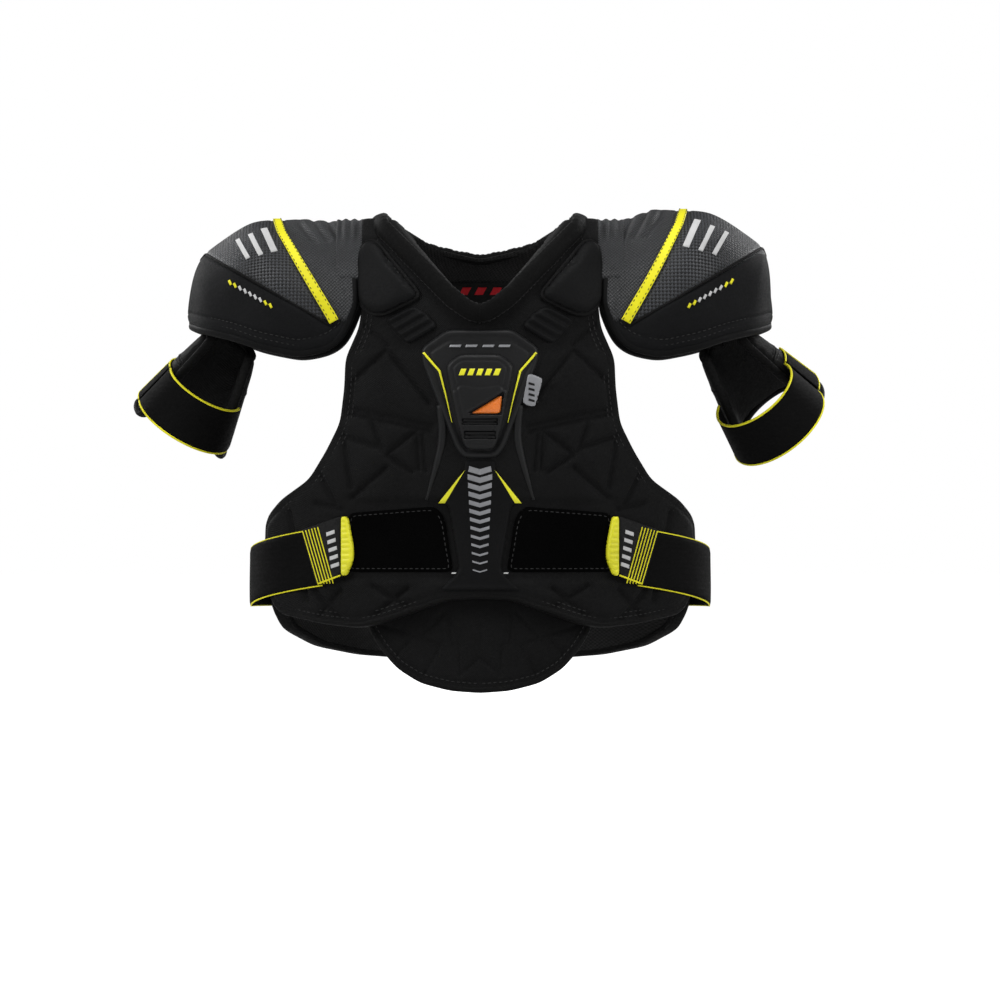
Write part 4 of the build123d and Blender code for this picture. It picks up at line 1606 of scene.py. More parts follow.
# ---------------------------------------------------------------- waist straps and belly flap
@dataclass
class WaistStraps:
    """The elastic straps round the sides, each ending in a fastening tab in front."""

    form: TorsoForm
    inner: float = 17.1
    outer: float = 19.1
    front_top: tuple[float, float] = (160.0, -287.5)
    front_bottom: tuple[float, float] = (146.0, -337.5)
    side_top: float = -305.0
    side_bottom: float = -357.5
    rear_end: float = 138.0
    hinge_y: float = -33.0
    tab: Outline = ((160.5, -286.6), (123.5, -273.5), (123.5, -329), (146.5, -337.6))
    tip: Outline = ((124, -273.5), (119, -274), (114, -302), (114, -314), (120, -329), (124, -329))
    hook: Outline = ((154, -293), (126, -280), (126, -322), (143, -330))
    stripe_count: int = 6

    def elastic(self, side: int) -> tuple[Array, Array, list]:
        """Build the elastic band and give the lines along its edges.

        Args:
            side: 1 for the wearer's left, -1 for the right.

        Returns:
            The band's points and quads, and its edge lines with outward directions.
        """
        width = 195.0 + self.outer
        columns, rows = 110, 15
        share, up = np.meshgrid(np.linspace(0, 1, columns), np.linspace(0, 1, rows))
        first = (1 - up) * math.asin(self.front_bottom[0] / width) + up * math.asin(self.front_top[0] / width)
        last = math.pi - math.asin(self.rear_end / width)
        bearing = first + (last - first) * share
        ahead = np.clip((np.pi / 2 - bearing) / (np.pi / 2 - first), 0, 1)
        top = self.side_top + (self.front_top[1] - self.side_top) * ahead
        bottom = self.side_bottom + (self.front_bottom[1] - self.side_bottom) * ahead
        z = bottom + (top - bottom) * up
        slack = 1.3 * np.exp(-((bearing - 1.9) / 0.35)**2) * (1 + 0.4 * np.sin(up * 5))
        bearing, z, slack = bearing.ravel(), z.ravel(), slack.ravel()
        edge = np.minimum(up, 1 - up).ravel() * 52
        outer = self.form.point(bearing, z, self.outer + slack - edge_round(edge, 2.0, 0.7), Face.FRONT)
        inner = self.form.point(bearing, z, self.inner + slack, Face.FRONT)
        turn = np.array([side, 1, 1])
        lines = []
        for row in (0, rows - 1):
            picked = slice(row * columns, (row + 1) * columns)
            away = unit(outer[picked] - inner[picked])
            lines.append(((outer[picked] - away * 0.6) * turn, away * turn))
        points, quads = closed_shell(outer * turn, inner * turn, grid_quads(rows, columns))
        return points, quads, lines

    def build_side(self, maker: Maker, side: int, word: str) -> None:
        """Build one elastic strap, from the vest round the side to its tab.

        Args:
            maker: Makes the pieces.
            side: 1 for the wearer's left, -1 for the right.
            word: left or right.
        """
        points, quads, lines = self.elastic(side)
        band = Shape().add((points, quads), 0)
        for line, out in lines:
            band.add(swept(line, out, rounded_section(1.5, 1.5, count=8)), 1)
        rear = [
            (138.5, -307), (150, -307), (150, -355), (138.5, -355), (138.5, -307), (150, -355), (138.5, -355),
            (150, -307),
        ]
        row, away = self.form.line(spaced(flipped(rear, side), 2.0), self.outer + 0.3, Face.BACK)
        stitches(band, row, away, 2)
        strap = maker.piece(
            f"waist_elastic_{word}", band, ["elastic_webbing", "yellow_thread", "black_thread"], None,
            [f"waist_strap_front_{word}"], "elastic_webbing",
        )
        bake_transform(strap)
        tab = Shape().add(
            Layer(self.form, flipped(self.tab, side), self.inner, 20.9, Face.FRONT, 1.5, 1.8, 1.0, 1.5).solid(),
            0,
        )
        outer_top, outer_low = np.array(self.tab[0]), np.array(self.tab[3])
        for k in range(self.stripe_count):
            shift = np.array([-2.4 - 2.7 * k, 0.9 + 0.75 * k])
            ends = [tuple(outer_top + shift + (0, -2.0)), tuple(outer_low + shift * (1, 0.2) + (0, 1.0))]
            line, out = self.form.line(spaced(flipped(ends, side), 3.0), 21.0, Face.FRONT)
            tab.add(swept(line, out, rounded_section(1.15, 0.7, 3.0, 8)), 1)
        lower = [(144.5, -336.2), (124, -328.2)]
        line, out = self.form.line(spaced(flipped(lower, side), 3.0), 20.9, Face.FRONT)
        tab.add(swept(line, out, rounded_section(1.6, 1.0, 3.0, 8)), 1)
        for k in range(5):
            z = -289.0 - 7.4 * k
            bar = flipped(
                [(136.8 - k, z), (129.5 - k, z + 2.6), (129.2 - k, z - 0.8), (136.4 - k, z - 3.4)], side,
            )
            tab.add(tile(self.form, bar, 20.4, 21.3), 2)
        maker.piece(
            f"waist_tab_cloth_{word}", tab, ["tab_cloth", "yellow_thread", "white_print"], f"waist_tab_{word}",
            [f"waist_tab_{word}"], "printed_tab",
        )
        groove = lambda places, edge: -0.6 * (np.sin(places[:, 1] * 1.3) > 0.4) * (edge > 1.5)
        tip = Shape().add(
            Layer(
                self.form, flipped(self.tip, side), self.inner, 22.0, Face.FRONT, 0.9, 2.2, 1.6, 3.0, groove,
            ).solid()
        )
        maker.piece(
            f"waist_tip_rubber_{word}", tip, ["yellow_rubber"], f"waist_tab_{word}", [f"waist_tip_{word}"],
            "yellow_rubber",
        )
        hook = Shape().add(
            Layer(self.form, flipped(self.hook, side), 16.3, 16.9, Face.FRONT, 2.0, 0.6, 0.2, 2.0).solid()
        )
        maker.piece(
            f"waist_hook_cloth_{word}", hook, ["hook_tape"], f"waist_tab_{word}", [f"waist_hook_{word}"],
            "hook_tape",
        )

    def build(self, maker: Maker) -> None:
        """Build both straps and the pads that they are sewn to behind.

        Args:
            maker: Makes the pieces.
        """
        anchors = Shape()
        for side, word in ((1, "left"), (-1, "right")):
            self.build_side(maker, side, word)
            base = flipped([(134, -303), (166, -303), (166, -360), (134, -360)], side)
            anchors.add(Layer(self.form, base, 14.0, 17.0, Face.BACK, 2.4, 2.0, 1.4, 4.0).solid())
        maker.piece(
            "waist_strap_anchors", anchors, ["shell_knit"], "torso", ["waist_straps_rear"], "elastic_webbing",
        )


@dataclass
class BellyFlap:
    """The quilted flap that hangs below the chest panel on two elastic loops."""

    form: TorsoForm
    half: Outline = (
        (0, -436), (30, -434), (60, -427), (83, -414), (100, -396), (113, -376), (111, -348), (99, -324),
        (0, -324),
    )
    inner: float = -11.3
    outer: float = -1.8
    grooves: tuple = (
        ((34, -360), (28, -392)), ((22, -392), (20, -420)), ((98, -374), (40, -393)), ((40, -393), (56, -420)),
        ((0, -404), (20, -420)), ((66, -384), (84, -402)), ((34, -360), (60, -386)),
    )
    loop_places: tuple = (41.0, -336.0)
    loop_size: tuple = (37.0, 14.0)

    def quilting(self, places: Array, edge: Array) -> Array:
        """Sink the grooves and the stitched border of the flap.

        Args:
            places: Front-view places of the surface.
            edge: Distance of each from the layer's edge.

        Returns:
            The change of height.
        """
        side = np.column_stack([np.abs(places[:, 0]), places[:, 1]])
        low = np.zeros(len(places))
        for line in self.grooves:
            low = np.minimum(low, flow_over(side, line, 1.9, -1.7))
        low = low + flow_over(side, ((0, -372), (0, -400)), 1.9, -1.4)
        border = -0.9 * np.exp(-((edge - 9) / 1.5)**2)
        return low * np.clip(edge / 8.0, 0, 1) + border - 0.4

    def build(self, maker: Maker) -> None:
        """Build the flap, its tape and its loops.

        Args:
            maker: Makes the pieces.
        """
        pad = Layer(
            self.form, mirrored(self.half), self.inner, self.outer, Face.FRONT, 1.7, 6.0, 3.0, 6.0,
            self.quilting,
        )
        flap = maker.piece(
            "belly_quilted_flap", Shape().add(pad.solid()), ["shell_knit"], "belly_flap", ["belly_pad"],
            "knit_fabric",
        )
        line, out = pad.border(2.6, (self.inner + self.outer) / 2)
        tape = Shape().add(swept(line, out, rounded_section(6.6, 10.0, 2.6, 14), closed=True), 0)
        row, away = pad.border(8.2, self.outer + 0.1)
        stitches(tape, row, away, 1)
        maker.piece(
            "belly_edge_tape", tape, ["binding_tape", "black_thread"], "belly_flap", ["belly_binding"],
            "binding_tape",
        )
        loops = Shape()
        (x, z), (width, tall) = self.loop_places, self.loop_size
        for side in (1, -1):
            corners = flipped(slanted(x, z, width, tall), side)
            loops.add(Layer(self.form, corners, -1.2, -0.2, Face.FRONT, 2.0, 1.0, 0.3, 2.0).solid())
        maker.piece(
            "belly_elastic_loops", loops, ["elastic_webbing"], "torso", ["belly_loops"], "elastic_webbing",
        )


# ---------------------------------------------------------------- shoulder caps
@dataclass
class ShoulderCap:
    """One domed shoulder cap, with its trim, twill and rolled rim."""

    side: int
    word: str
    axis_z: float = -95.0
    radius: float = 95.5
    inner_end: float = 116.0
    dome_start: float = 190.0
    dome_reach: float = 81.0
    thickness: float = 11.0
    lower: Outline = (
        (116, -79), (121, -94), (130, -112), (143, -120.5), (167, -125.5), (203, -118), (227, -109.5),
        (267, -100), (272, -97),
    )
    trim: Outline = ((189, 1), (184, -12), (161, -50), (138, -88), (134, -95))
    trim_width: float = 8.6
    seam: Outline = ((256, -31), (222, -50), (180, -74), (136, -99))
    rear_seam: Outline = ((118, -62), (190, -50), (256, -31))
    folds: tuple = (((168, -3), (152, -22)), ((155, -1), (141, -19)), ((141, -1), (129, -19)))
    crown: float = 1.0
    flare: float = 5.0
    columns_straight: int = 40
    columns_dome: int = 66
    rows: int = 181
    rim_width: float = 9.0

    def profile(self, depth: float = 0.0) -> tuple[Array, Array]:
        """Give x and radius along the cap, from its inner end to the tip of its dome.

        Args:
            depth: Distance inside the cap's face.

        Returns:
            x and radius of each column.
        """
        straight = np.linspace(self.inner_end, self.dome_start, self.columns_straight, endpoint=False)
        turn = np.linspace(0, math.pi / 2, self.columns_dome)
        x = np.r_[straight, self.dome_start + (self.dome_reach - depth) * np.sin(turn)]
        radius = np.r_[np.full(len(straight), self.radius - depth), (self.radius - depth) * np.cos(turn)]
        return x, radius

    def opening(self) -> Array:
        """Give the angle from the top down to the rim at each column.

        Returns:
            The angles, in radians.
        """
        x, radius = self.profile()
        edge = softened(self.lower, 6.0, 2.0, closed=False)
        low = np.interp(x, edge[:, 0], edge[:, 1])
        return np.arccos(np.clip((low - self.axis_z) / np.maximum(radius, 1e-3), -1, 1))

    def sheet(self, depth: Array, share: Array) -> Array:
        """Give the points of a sheet under the cap's outside.

        Args:
            depth: Depth of each point, rows by columns.
            share: Share of the way from the front rim (-1) over the top to the back rim (1).

        Returns:
            The points, row by row.
        """
        x0, r0 = self.profile()
        x1, r1 = self.profile(10.0)
        x = x0 + (x1 - x0) * depth / 10.0
        radius = np.maximum(r0 + (r1 - r0) * depth / 10.0, 0.0)
        angle = self.opening() * share
        return np.column_stack(
            [
                (self.side * x).ravel(), (radius * np.sin(angle)).ravel(),
                (self.axis_z + radius * np.cos(angle)).ravel(),
            ]
        )

    def on_front(self, path: Sequence, lift: float) -> tuple[Array, Array]:
        """Lay a front-view path on the front of the cap.

        Args:
            path: The path's x and z, for the wearer's left.
            lift: Height above the cap's outside.

        Returns:
            The points and the outward directions.
        """
        path = np.asarray(path, float)
        x, z = path[:, 0], path[:, 1]
        turn = np.arcsin(np.clip((x - self.dome_start) / self.dome_reach, 0, 1))
        radius = np.maximum(self.radius * np.cos(turn), 1.0)
        angle = np.arccos(np.clip((z - self.axis_z) / radius, -1, 1))
        points = np.column_stack([self.side * x, -radius * np.sin(angle), self.axis_z + radius * np.cos(angle)])
        lean = np.column_stack(
            [self.side * np.sin(turn), -np.cos(turn) * np.sin(angle), np.cos(turn) * np.cos(angle)]
        )
        return points + lean * (lift + self.fullness(x, np.degrees(angle)))[:, None], lean

    def fullness(self, x: Array, around: Array) -> Array:
        """Give how far the padding swells out on top and over the outer shoulder."""
        along = np.clip((x - 128) / 30, 0, 1) * np.clip((268 - x) / 16, 0, 1)
        outer = self.flare * np.exp(-((x - 257) / 13)**2) * np.exp(-(around / 80)**4)
        return self.crown * np.exp(-(around / 62)**4) * along + outer

    def relief(self, x: Array, y: Array, z: Array, rim: Array) -> Array:
        """Give the depth of the cap's seams, folds and channels.

        Args:
            x: Distance from the middle of the body.
            y: Distance to the back.
            z: Height.
            rim: Distance along the surface from the rim.

        Returns:
            Depth below the cap's outside.
        """
        flat = np.column_stack([x, z])
        front = y < 8
        depth = edge_round(rim, 8.0, 3.4)
        depth = depth - flow_over(flat, self.seam, 1.8, -1.5) * front
        for fold in self.folds:
            dent = flow_over(np.column_stack([x, np.maximum(z, -60.0)]), fold, 2.6, -2.4)
            depth = depth - dent * (np.abs(y) < 62)
        tape = np.asarray(self.trim, float)
        distance, _, _ = nearest(flat, tape, False)
        bed = np.exp(-((distance - self.trim_width * 0.62) / 1.2)**2)
        depth = depth + 0.9 * bed * front
        swell = -1.0 * np.exp(-((distance - 22) / 12)**2) * front
        swell = swell - self.fullness(x, np.degrees(np.arctan2(y, z - self.axis_z)))
        band = 1.0 * np.exp(-((rim - 13.5) / 1.5)**2)
        back_seams = 1.2 * np.exp(-((x - 178 + 0.5 * (z + 40)) / 1.8)**2)
        return depth + swell + band * (rim < 40) + back_seams * (y > 20) * (z < -14)

    def cloth_places(self, points: Array) -> Array:
        """Unroll points of the cap to flat cloth: along the dome and round it.

        Args:
            points: Points of the cap.

        Returns:
            The flat place of each point.
        """
        x = points[:, 0] * self.side
        turn = np.arcsin(np.clip((x - self.dome_start) / self.dome_reach, 0, 1))
        along = np.minimum(x, self.dome_start) + turn * 88.0
        return np.column_stack([along, np.arctan2(points[:, 1], points[:, 2] - self.axis_z) * self.radius])

    def kinds(self, quads: Array, points: Array) -> Array:
        """Choose the finish of each face: 0 ribbed, 1 twill, 2 smooth, 3 rim band.

        Args:
            quads: Faces, by the numbers of their points.
            points: Points of the cap.

        Returns:
            The finish number of each face.
        """
        middle = points[quads].mean(1) * np.array([self.side, 1, 1])
        x, y, z = middle.T
        tape, seam = np.asarray(self.trim, float), np.asarray(self.seam, float)
        strip_x = np.interp(z, tape[::-1, 1], tape[::-1, 0])
        seam_z = np.interp(x, seam[::-1, 0], seam[::-1, 1])
        kinds = np.where(z < -93, 2, np.where(x > strip_x, np.where(z > seam_z, 1, 2), 0))
        behind = np.asarray(self.rear_seam, float)
        return np.where(y > 8, np.where(z < np.interp(x, behind[:, 0], behind[:, 1]), 2, 0), kinds)

    def build_shell(self, maker: Maker) -> None:
        """Build the cap's padded dome with its regions of cloth.

        Args:
            maker: Makes the pieces.
        """
        x, radius = self.profile()
        share = np.linspace(-1, 1, self.rows)[:, None]
        width = len(x)
        flat = self.sheet(np.zeros((self.rows, width)), share)
        rim = (self.opening() * (1 - np.abs(share)) * radius).ravel()
        rim = np.minimum(rim, np.tile((x - self.inner_end) + 3.0, self.rows))
        depth = self.relief(flat[:, 0] * self.side, flat[:, 1], flat[:, 2], rim).reshape(self.rows, width)
        fade = np.ones(width)
        fade[-4:] = 0.0
        outer = self.sheet(depth * fade, share)
        inner = self.sheet(np.full((self.rows, width), self.thickness), share)
        quads = grid_quads(self.rows, width)
        points, faces = closed_shell(outer, inner, quads)
        shell = Shape().add((points, faces))
        kinds = np.full(len(faces), 3)
        kinds[:len(quads)] = self.kinds(quads, points)
        kinds[len(quads):] = 4
        shell.kinds = [kinds]
        cap = maker.piece(
            f"cap_dome_{self.word}", shell,
            ["cap_ribbed", "cap_twill", "cap_smooth", "binding_tape", "liner_mesh"], f"cap_{self.word}",
            [f"cap_cover_{self.word}", f"cap_foam_{self.word}", f"cap_shell_{self.word}"], "cap_fabric",
            self.cloth_places,
        )

    def build_rim(self, maker: Maker) -> None:
        """Build the rolled foam rim and the stitching beside it.

        Args:
            maker: Makes the pieces.
        """
        x, radius = self.profile()
        opening = self.opening()
        low = opening < math.radians(172)
        middle = self.thickness / 2
        front = self.sheet(np.full((1, len(x)), middle), np.array([[-1.0]]))[low]
        back = self.sheet(np.full((1, len(x)), middle), np.array([[1.0]]))[low]
        front_out = self.sheet(np.zeros((1, len(x))), np.array([[-1.0]]))[low] - front
        back_out = self.sheet(np.zeros((1, len(x))), np.array([[1.0]]))[low] - back
        half = np.linspace(-1, 1, 60)[1:-1, None]
        inner = self.sheet(np.full((58, len(x)), middle), half).reshape(58, -1, 3)[:, 0]
        inner_out = self.sheet(np.zeros((58, len(x))), half).reshape(58, -1, 3)[:, 0] - inner
        loop = np.vstack(
            [
                np.hstack([front, front_out]), np.hstack([back[::-1], back_out[::-1]]),
                np.hstack([inner[::-1], inner_out[::-1]]),
            ]
        )
        loop = softened(loop, 4.0, 2.5)
        rim = Shape().add(
            swept(loop[:, :3], unit(loop[:, 3:]), rounded_section(self.rim_width, 12.0, 2.3, 14), closed=True),
            0,
        )
        for inset in (8.0, 13.5):
            wide = radius > 34
            angle = np.maximum(opening - inset / np.maximum(radius, 1.0), 0.05)
            for turn in (-1, 1):
                points = np.column_stack(
                    [self.side * x, turn * radius * np.sin(angle), self.axis_z + radius * np.cos(angle)]
                )[wide]
                slope = np.r_[np.zeros(self.columns_straight), np.linspace(0, math.pi / 2, self.columns_dome)]
                away = np.column_stack(
                    [
                        self.side * np.sin(slope), turn * np.cos(slope) * np.sin(angle),
                        np.cos(slope) * np.cos(angle),
                    ]
                )[wide]
                drop = edge_round(np.array([inset]), 8.0, 3.4)[0]
                stitches(rim, points - away * (drop + 0.2), away, 1)
        maker.piece(
            f"cap_rolled_rim_{self.word}", rim, ["moulded_foam", "black_thread"], f"cap_{self.word}",
            [f"cap_rim_{self.word}"], "cap_fabric",
        )

    def build_trim(self, maker: Maker) -> None:
        """Build the yellow tape with its sewn edges, and the small printed marks.

        Args:
            maker: Makes the pieces.
        """
        trim = Shape()
        line, out = self.on_front(spaced(self.trim, 2.0), 0.9)
        taper = np.column_stack([np.linspace(0.92, 1.08, len(line)), np.ones(len(line))])
        trim.add(swept(line, out, rounded_section(self.trim_width, 1.6, 5.0, 16), scale=taper), 0)
        corners = np.asarray(spaced(self.trim, 2.0))
        across = unit(np.column_stack([-np.gradient(corners[:, 1]), np.gradient(corners[:, 0])]))
        for shift in (-0.36, 0.36):
            row, away = self.on_front(corners + across * shift * self.trim_width, 1.8)
            stitches(trim, row, away, 1, length=2.4, gap=2.4, thread=0.8)
        for k, x in enumerate((194.0, 206.0, 218.0)):
            bar = [(x - 4.5, -31.0 - 3 * k), (x + 6.0, -9.0 - 5 * k)]
            mark, away = self.on_front(spaced(bar, 2.0), 0.6)
            trim.add(swept(mark, away, rounded_section(6.4 - k, 0.9, 5.0, 8)), 2)
        cord, away = self.on_front(spaced(self.seam, 2.0), 0.0)
        trim.add(swept(cord, away, rounded_section(2.4, 1.8, count=8)), 5)
        cord, away = self.on_front(spaced(self.rear_seam, 2.0), -0.4)
        behind = np.array([1.0, -1.0, 1.0])
        trim.add(swept(cord * behind, away * behind, rounded_section(3.0, 2.2, count=8)), 5)
        for k in range(9):
            centre = np.array([230.0 - 4.7 * k, -59.0 - 2.7 * k])
            kind = 3 if k in (0, 1, 7, 8) else 4
            dash, away = self.on_front(
                spaced([tuple(centre - (1.0, 2.0)), tuple(centre + (1.0, 2.0))], 1.0), 0.5,
            )
            trim.add(swept(dash, away, rounded_section(2.4, 0.7, 4.0, 8)), kind)
        maker.piece(
            f"cap_trim_tape_{self.word}", trim,
            ["yellow_tape", "black_thread", "white_print", "yellow_thread", "white_print", "binding_tape"],
            f"cap_{self.word}", [f"cap_trim_{self.word}"], "yellow_trim",
        )

    def build_bridge(self, maker: Maker) -> None:
        """Build the pleated cloth from the vest to the cap.

        Args:
            maker: Makes the pieces.
        """
        rows, columns = 73, 25
        x, turn = np.meshgrid(np.linspace(101, 133, columns), np.radians(np.linspace(-66, 66, rows)))
        pleats = 0.9 * np.cos((x - 101) * 2 * np.pi / 8.0)
        pleats = pleats * np.clip((x - 101) / 4, 0, 1) * np.clip((133 - x) / 4, 0, 1)
        pleats = pleats * np.clip((0.78 - np.abs(turn)) / 0.2, 0, 1)
        slope = np.clip((114 - x) / 13, 0, 1)
        radius = self.radius + 1.6 + pleats - 2.4 * slope**2
        ends = edge_round(
            (np.radians(66) - np.abs(turn)).ravel() * self.radius, 6.0, 2.2,
        ).reshape(rows, columns)
        outer_r, inner_r = (radius - ends), radius - 3.4

        def ring(r: Array) -> Array:
            """Give the points at a radius for each place."""
            return np.column_stack(
                [(self.side * x).ravel(), (r * np.sin(turn)).ravel(), (self.axis_z + r * np.cos(turn)).ravel()]
            )

        made = closed_shell(ring(outer_r), ring(inner_r), grid_quads(rows, columns))
        bridge = maker.piece(
            f"shoulder_bridge_{self.word}", Shape().add(made), ["cap_ribbed"], None, (), "cap_fabric",
            self.cloth_places,
        )
        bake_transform(bridge)

    def build(self, maker: Maker) -> None:
        """Build the whole cap.

        Args:
            maker: Makes the pieces.
        """
        self.build_shell(maker)
        self.build_rim(maker)
        self.build_trim(maker)
        self.build_bridge(maker)


# ---------------------------------------------------------------- upper-arm guards
@dataclass
class ArmGuard:
    """One padded upper-arm guard with the slack strap across its opening."""

    side: int
    word: str
    top: tuple[float, float, float]
    down: tuple[float, float, float]
    sewn_angle: float
    bulge_angle: float
    bulge: float
    fold_angle: float
    tab_sweep: float
    length: float = 98.0
    top_radius: float = 17.0
    bottom_radius: float = 40.3
    wall: float = 10.2
    arc: tuple[float, float] = (-28.0, 208.0)
    strap_band: tuple[float, float] = (46.0, 88.0)
    strap_thickness: float = 1.8
    strap_lift: float = 0.6

    def frame_axes(self) -> tuple[Array, Array, Array]:
        """Give the directions up the arm, to its outer side and to its back."""
        up = -unit(np.array(self.down))
        lateral = unit(np.array([1.0, 0, 0]) - up * up[0])
        return up, lateral, np.cross(up, lateral)

    def place(self, along: Array, angle: Array, out: Array) -> Array:
        """Give points of the guard.

        Args:
            along: Distances down the arm.
            angle: Angles round the arm, in degrees.
            out: Distances outside the guard's inner face.

        Returns:
            The points.
        """
        up, lateral, rear = self.frame_axes()
        along, angle, out = np.broadcast_arrays(np.asarray(along, float), np.radians(angle), out)
        radius = self.top_radius + (self.bottom_radius - self.top_radius) * along / self.length + out
        ring = np.cos(angle)[..., None] * lateral + np.sin(angle)[..., None] * rear
        return (np.array(self.top) - up * along[..., None] + ring * radius[..., None]).reshape(-1, 3)

    def build_pad(self, maker: Maker) -> None:
        """Build the stuffed pad, its seams and its edge tape.

        Args:
            maker: Makes the pieces.
        """
        rows, columns = 40, 90
        along, angle = np.meshgrid(
            np.linspace(1.0, self.length - 1.0, rows),
            np.linspace(self.arc[0] + 1.5, self.arc[1] - 1.5, columns), indexing="ij",
        )
        reach = np.minimum(along - 1, self.length - 1 - along)
        sideways = np.minimum(angle - self.arc[0], self.arc[1] - angle) * np.pi / 180 * 35
        edge = np.minimum(reach, sideways).ravel()
        outer = self.place(along.ravel(), angle.ravel(), self.wall - 1.4 - edge_round(edge, 9.0, 4.0))
        inner = self.place(along.ravel(), angle.ravel(), 0.8 + edge_round(edge, 5.0, 1.5))
        shape = Shape().add(closed_shell(outer, inner, grid_quads(rows, columns)))
        pad = maker.piece(
            f"arm_padded_guard_{self.word}", shape, ["shell_knit"], f"arm_{self.word}",
            [f"arm_{part}_{self.word}" for part in ("cover", "foam", "liner", "shell")], "knit_fabric",
        )
        stuffed(pad, voxel=4.0, pressure=4.0, reach=2.0)
        seams = Shape()
        centre = (self.arc[0] + self.arc[1]) / 2
        rows_of_seams = [
            (np.linspace(6, self.length - 5, 45), np.full(45, centre + turn)) for turn in (-62, -20, 24, 66)
        ]
        rows_of_seams += [(np.full(70, 36.0), np.linspace(self.arc[0] + 8, self.arc[1] - 8, 70))]
        for far, turn in rows_of_seams:
            path = self.place(far, turn, np.full(len(far), self.wall))
            axis = self.place(far, turn, np.full(len(far), -5.0))
            out = unit(path - axis)
            laid = laid_on(pad, path, out, 0.1)
            seams.add(swept(laid, out, rounded_section(2.2, 1.1, count=8)), 0)
            beside = unit(np.cross(np.gradient(laid, axis=0), out))
            for shift in (-2.6, 2.6):
                stitches(seams, laid_on(pad, laid + beside * shift, out, 0.1), out, 1)
        low, high, left, right = 0.5, self.length - 0.5, self.arc[0] + 0.6, self.arc[1] - 0.6
        corners = [(low, left), (high, left), (high, right), (low, right)]
        ring = []
        for (a, b), (c, d) in zip(corners, corners[1:] + corners[:1]):
            count = 60 if abs(d - b) > 1 else 30
            ring.append(
                np.column_stack(
                    [np.linspace(a, c, count, endpoint=False), np.linspace(b, d, count, endpoint=False)]
                )
            )
        ring = softened(np.vstack(ring), 6.0, 3.0)
        path = self.place(ring[:, 0], ring[:, 1], np.full(len(ring), self.wall / 2 - 0.4))
        outside = self.place(ring[:, 0], ring[:, 1], np.full(len(ring), self.wall + 5))
        seams.add(swept(path, unit(outside - path), rounded_section(6.0, 9.4, 2.4, 14), closed=True), 2)
        maker.piece(
            f"arm_seams_{self.word}", seams, ["shell_knit", "black_thread", "binding_tape"], f"arm_{self.word}",
        )

    def strap_arc(self, along: float, out: float, count: int) -> Array:
        """Give the strap's line across the arm at one distance down it.

        Args:
            along: Distance down the arm.
            out: Distance outside the strap's inner face.
            count: Number of points.

        Returns:
            Points from the sewn edge over the bulge to the fold.
        """
        inner = self.top_radius + (self.bottom_radius - self.top_radius) * along / self.length
        base = inner + self.wall + self.strap_lift
        marks = ((self.sewn_angle, 0.0), (self.bulge_angle, self.bulge), (self.fold_angle, 0.0))
        flat = [
            np.array([math.cos(math.radians(a)), math.sin(math.radians(a))]) * (base + extra + out)
            for a, extra in marks
        ]
        (ax, ay), (bx, by), (cx, cy) = flat
        twice = 2 * (ax * (by - cy) + bx * (cy - ay) + cx * (ay - by))
        squares = [ax * ax + ay * ay, bx * bx + by * by, cx * cx + cy * cy]
        centre = np.array([
            (squares[0] * (by - cy) + squares[1] * (cy - ay) + squares[2] * (ay - by)) / twice,
            (squares[0] * (cx - bx) + squares[1] * (ax - cx) + squares[2] * (bx - ax)) / twice,
        ])
        turns = [math.atan2(*(p - centre)[::-1]) for p in flat]
        via = (turns[1] - turns[0]) % (2 * math.pi)
        whole = (turns[2] - turns[0]) % (2 * math.pi)
        if via > whole:
            whole -= 2 * math.pi
        sweep = turns[0] + np.linspace(0, whole, count)
        radius = np.linalg.norm(flat[0] - centre)
        ring = centre + radius * np.column_stack([np.cos(sweep), np.sin(sweep)])
        up, lateral, rear = self.frame_axes()
        return np.array(self.top) - up * along + ring[:, :1] * lateral + ring[:, 1:] * rear

    def build_strap(self, maker: Maker) -> None:
        """Build the elastic strap with yellow edges, and its folded fastening end.

        Args:
            maker: Makes the pieces.
        """
        rows, columns = 13, 70
        marks = np.linspace(*self.strap_band, rows)
        outer = np.vstack([self.strap_arc(a, self.strap_thickness, columns) for a in marks])
        inner = np.vstack([self.strap_arc(a, 0.0, columns) for a in marks])
        strap = Shape().add(closed_shell(outer, inner, grid_quads(rows, columns)), 0)
        for row in (0, rows - 1):
            line = outer[row * columns:(row + 1) * columns]
            away = unit(line - inner[row * columns:(row + 1) * columns])
            strap.add(swept(line - away * 0.8, away, rounded_section(2.3, 2.3, count=10)), 1)
        maker.piece(
            f"arm_elastic_{self.word}", strap, ["elastic_webbing", "yellow_thread"], f"arm_{self.word}",
            [f"arm_strap_{self.word}"], "elastic_webbing",
        )
        turn = 1 if self.tab_sweep > 0 else -1
        angles = np.linspace(self.fold_angle + turn * 4.5, self.fold_angle + self.tab_sweep, 30)
        along, angle = np.meshgrid(marks, angles, indexing="ij")
        base = self.wall + self.strap_lift
        outer = self.place(along.ravel(), angle.ravel(), base + self.strap_thickness)
        inner = self.place(along.ravel(), angle.ravel(), np.full(along.size, base))
        tab = Shape().add(closed_shell(outer, inner, grid_quads(rows, 30)), 0)
        for row in (0, rows - 1):
            line = outer[row * 30:(row + 1) * 30]
            away = unit(line - inner[row * 30:(row + 1) * 30])
            tab.add(swept(line - away * 0.6, away, rounded_section(2.0, 1.8, count=10)), 1)
        for back in (0, 4, 7):
            line, under = outer.reshape(rows, 30, 3)[:, 29 - back], inner.reshape(rows, 30, 3)[:, 29 - back]
            away = unit(line - under)
            tab.add(swept(line, away, rounded_section(3.0 if back == 0 else 1.3, 1.6, 3.0, 8)), 1)
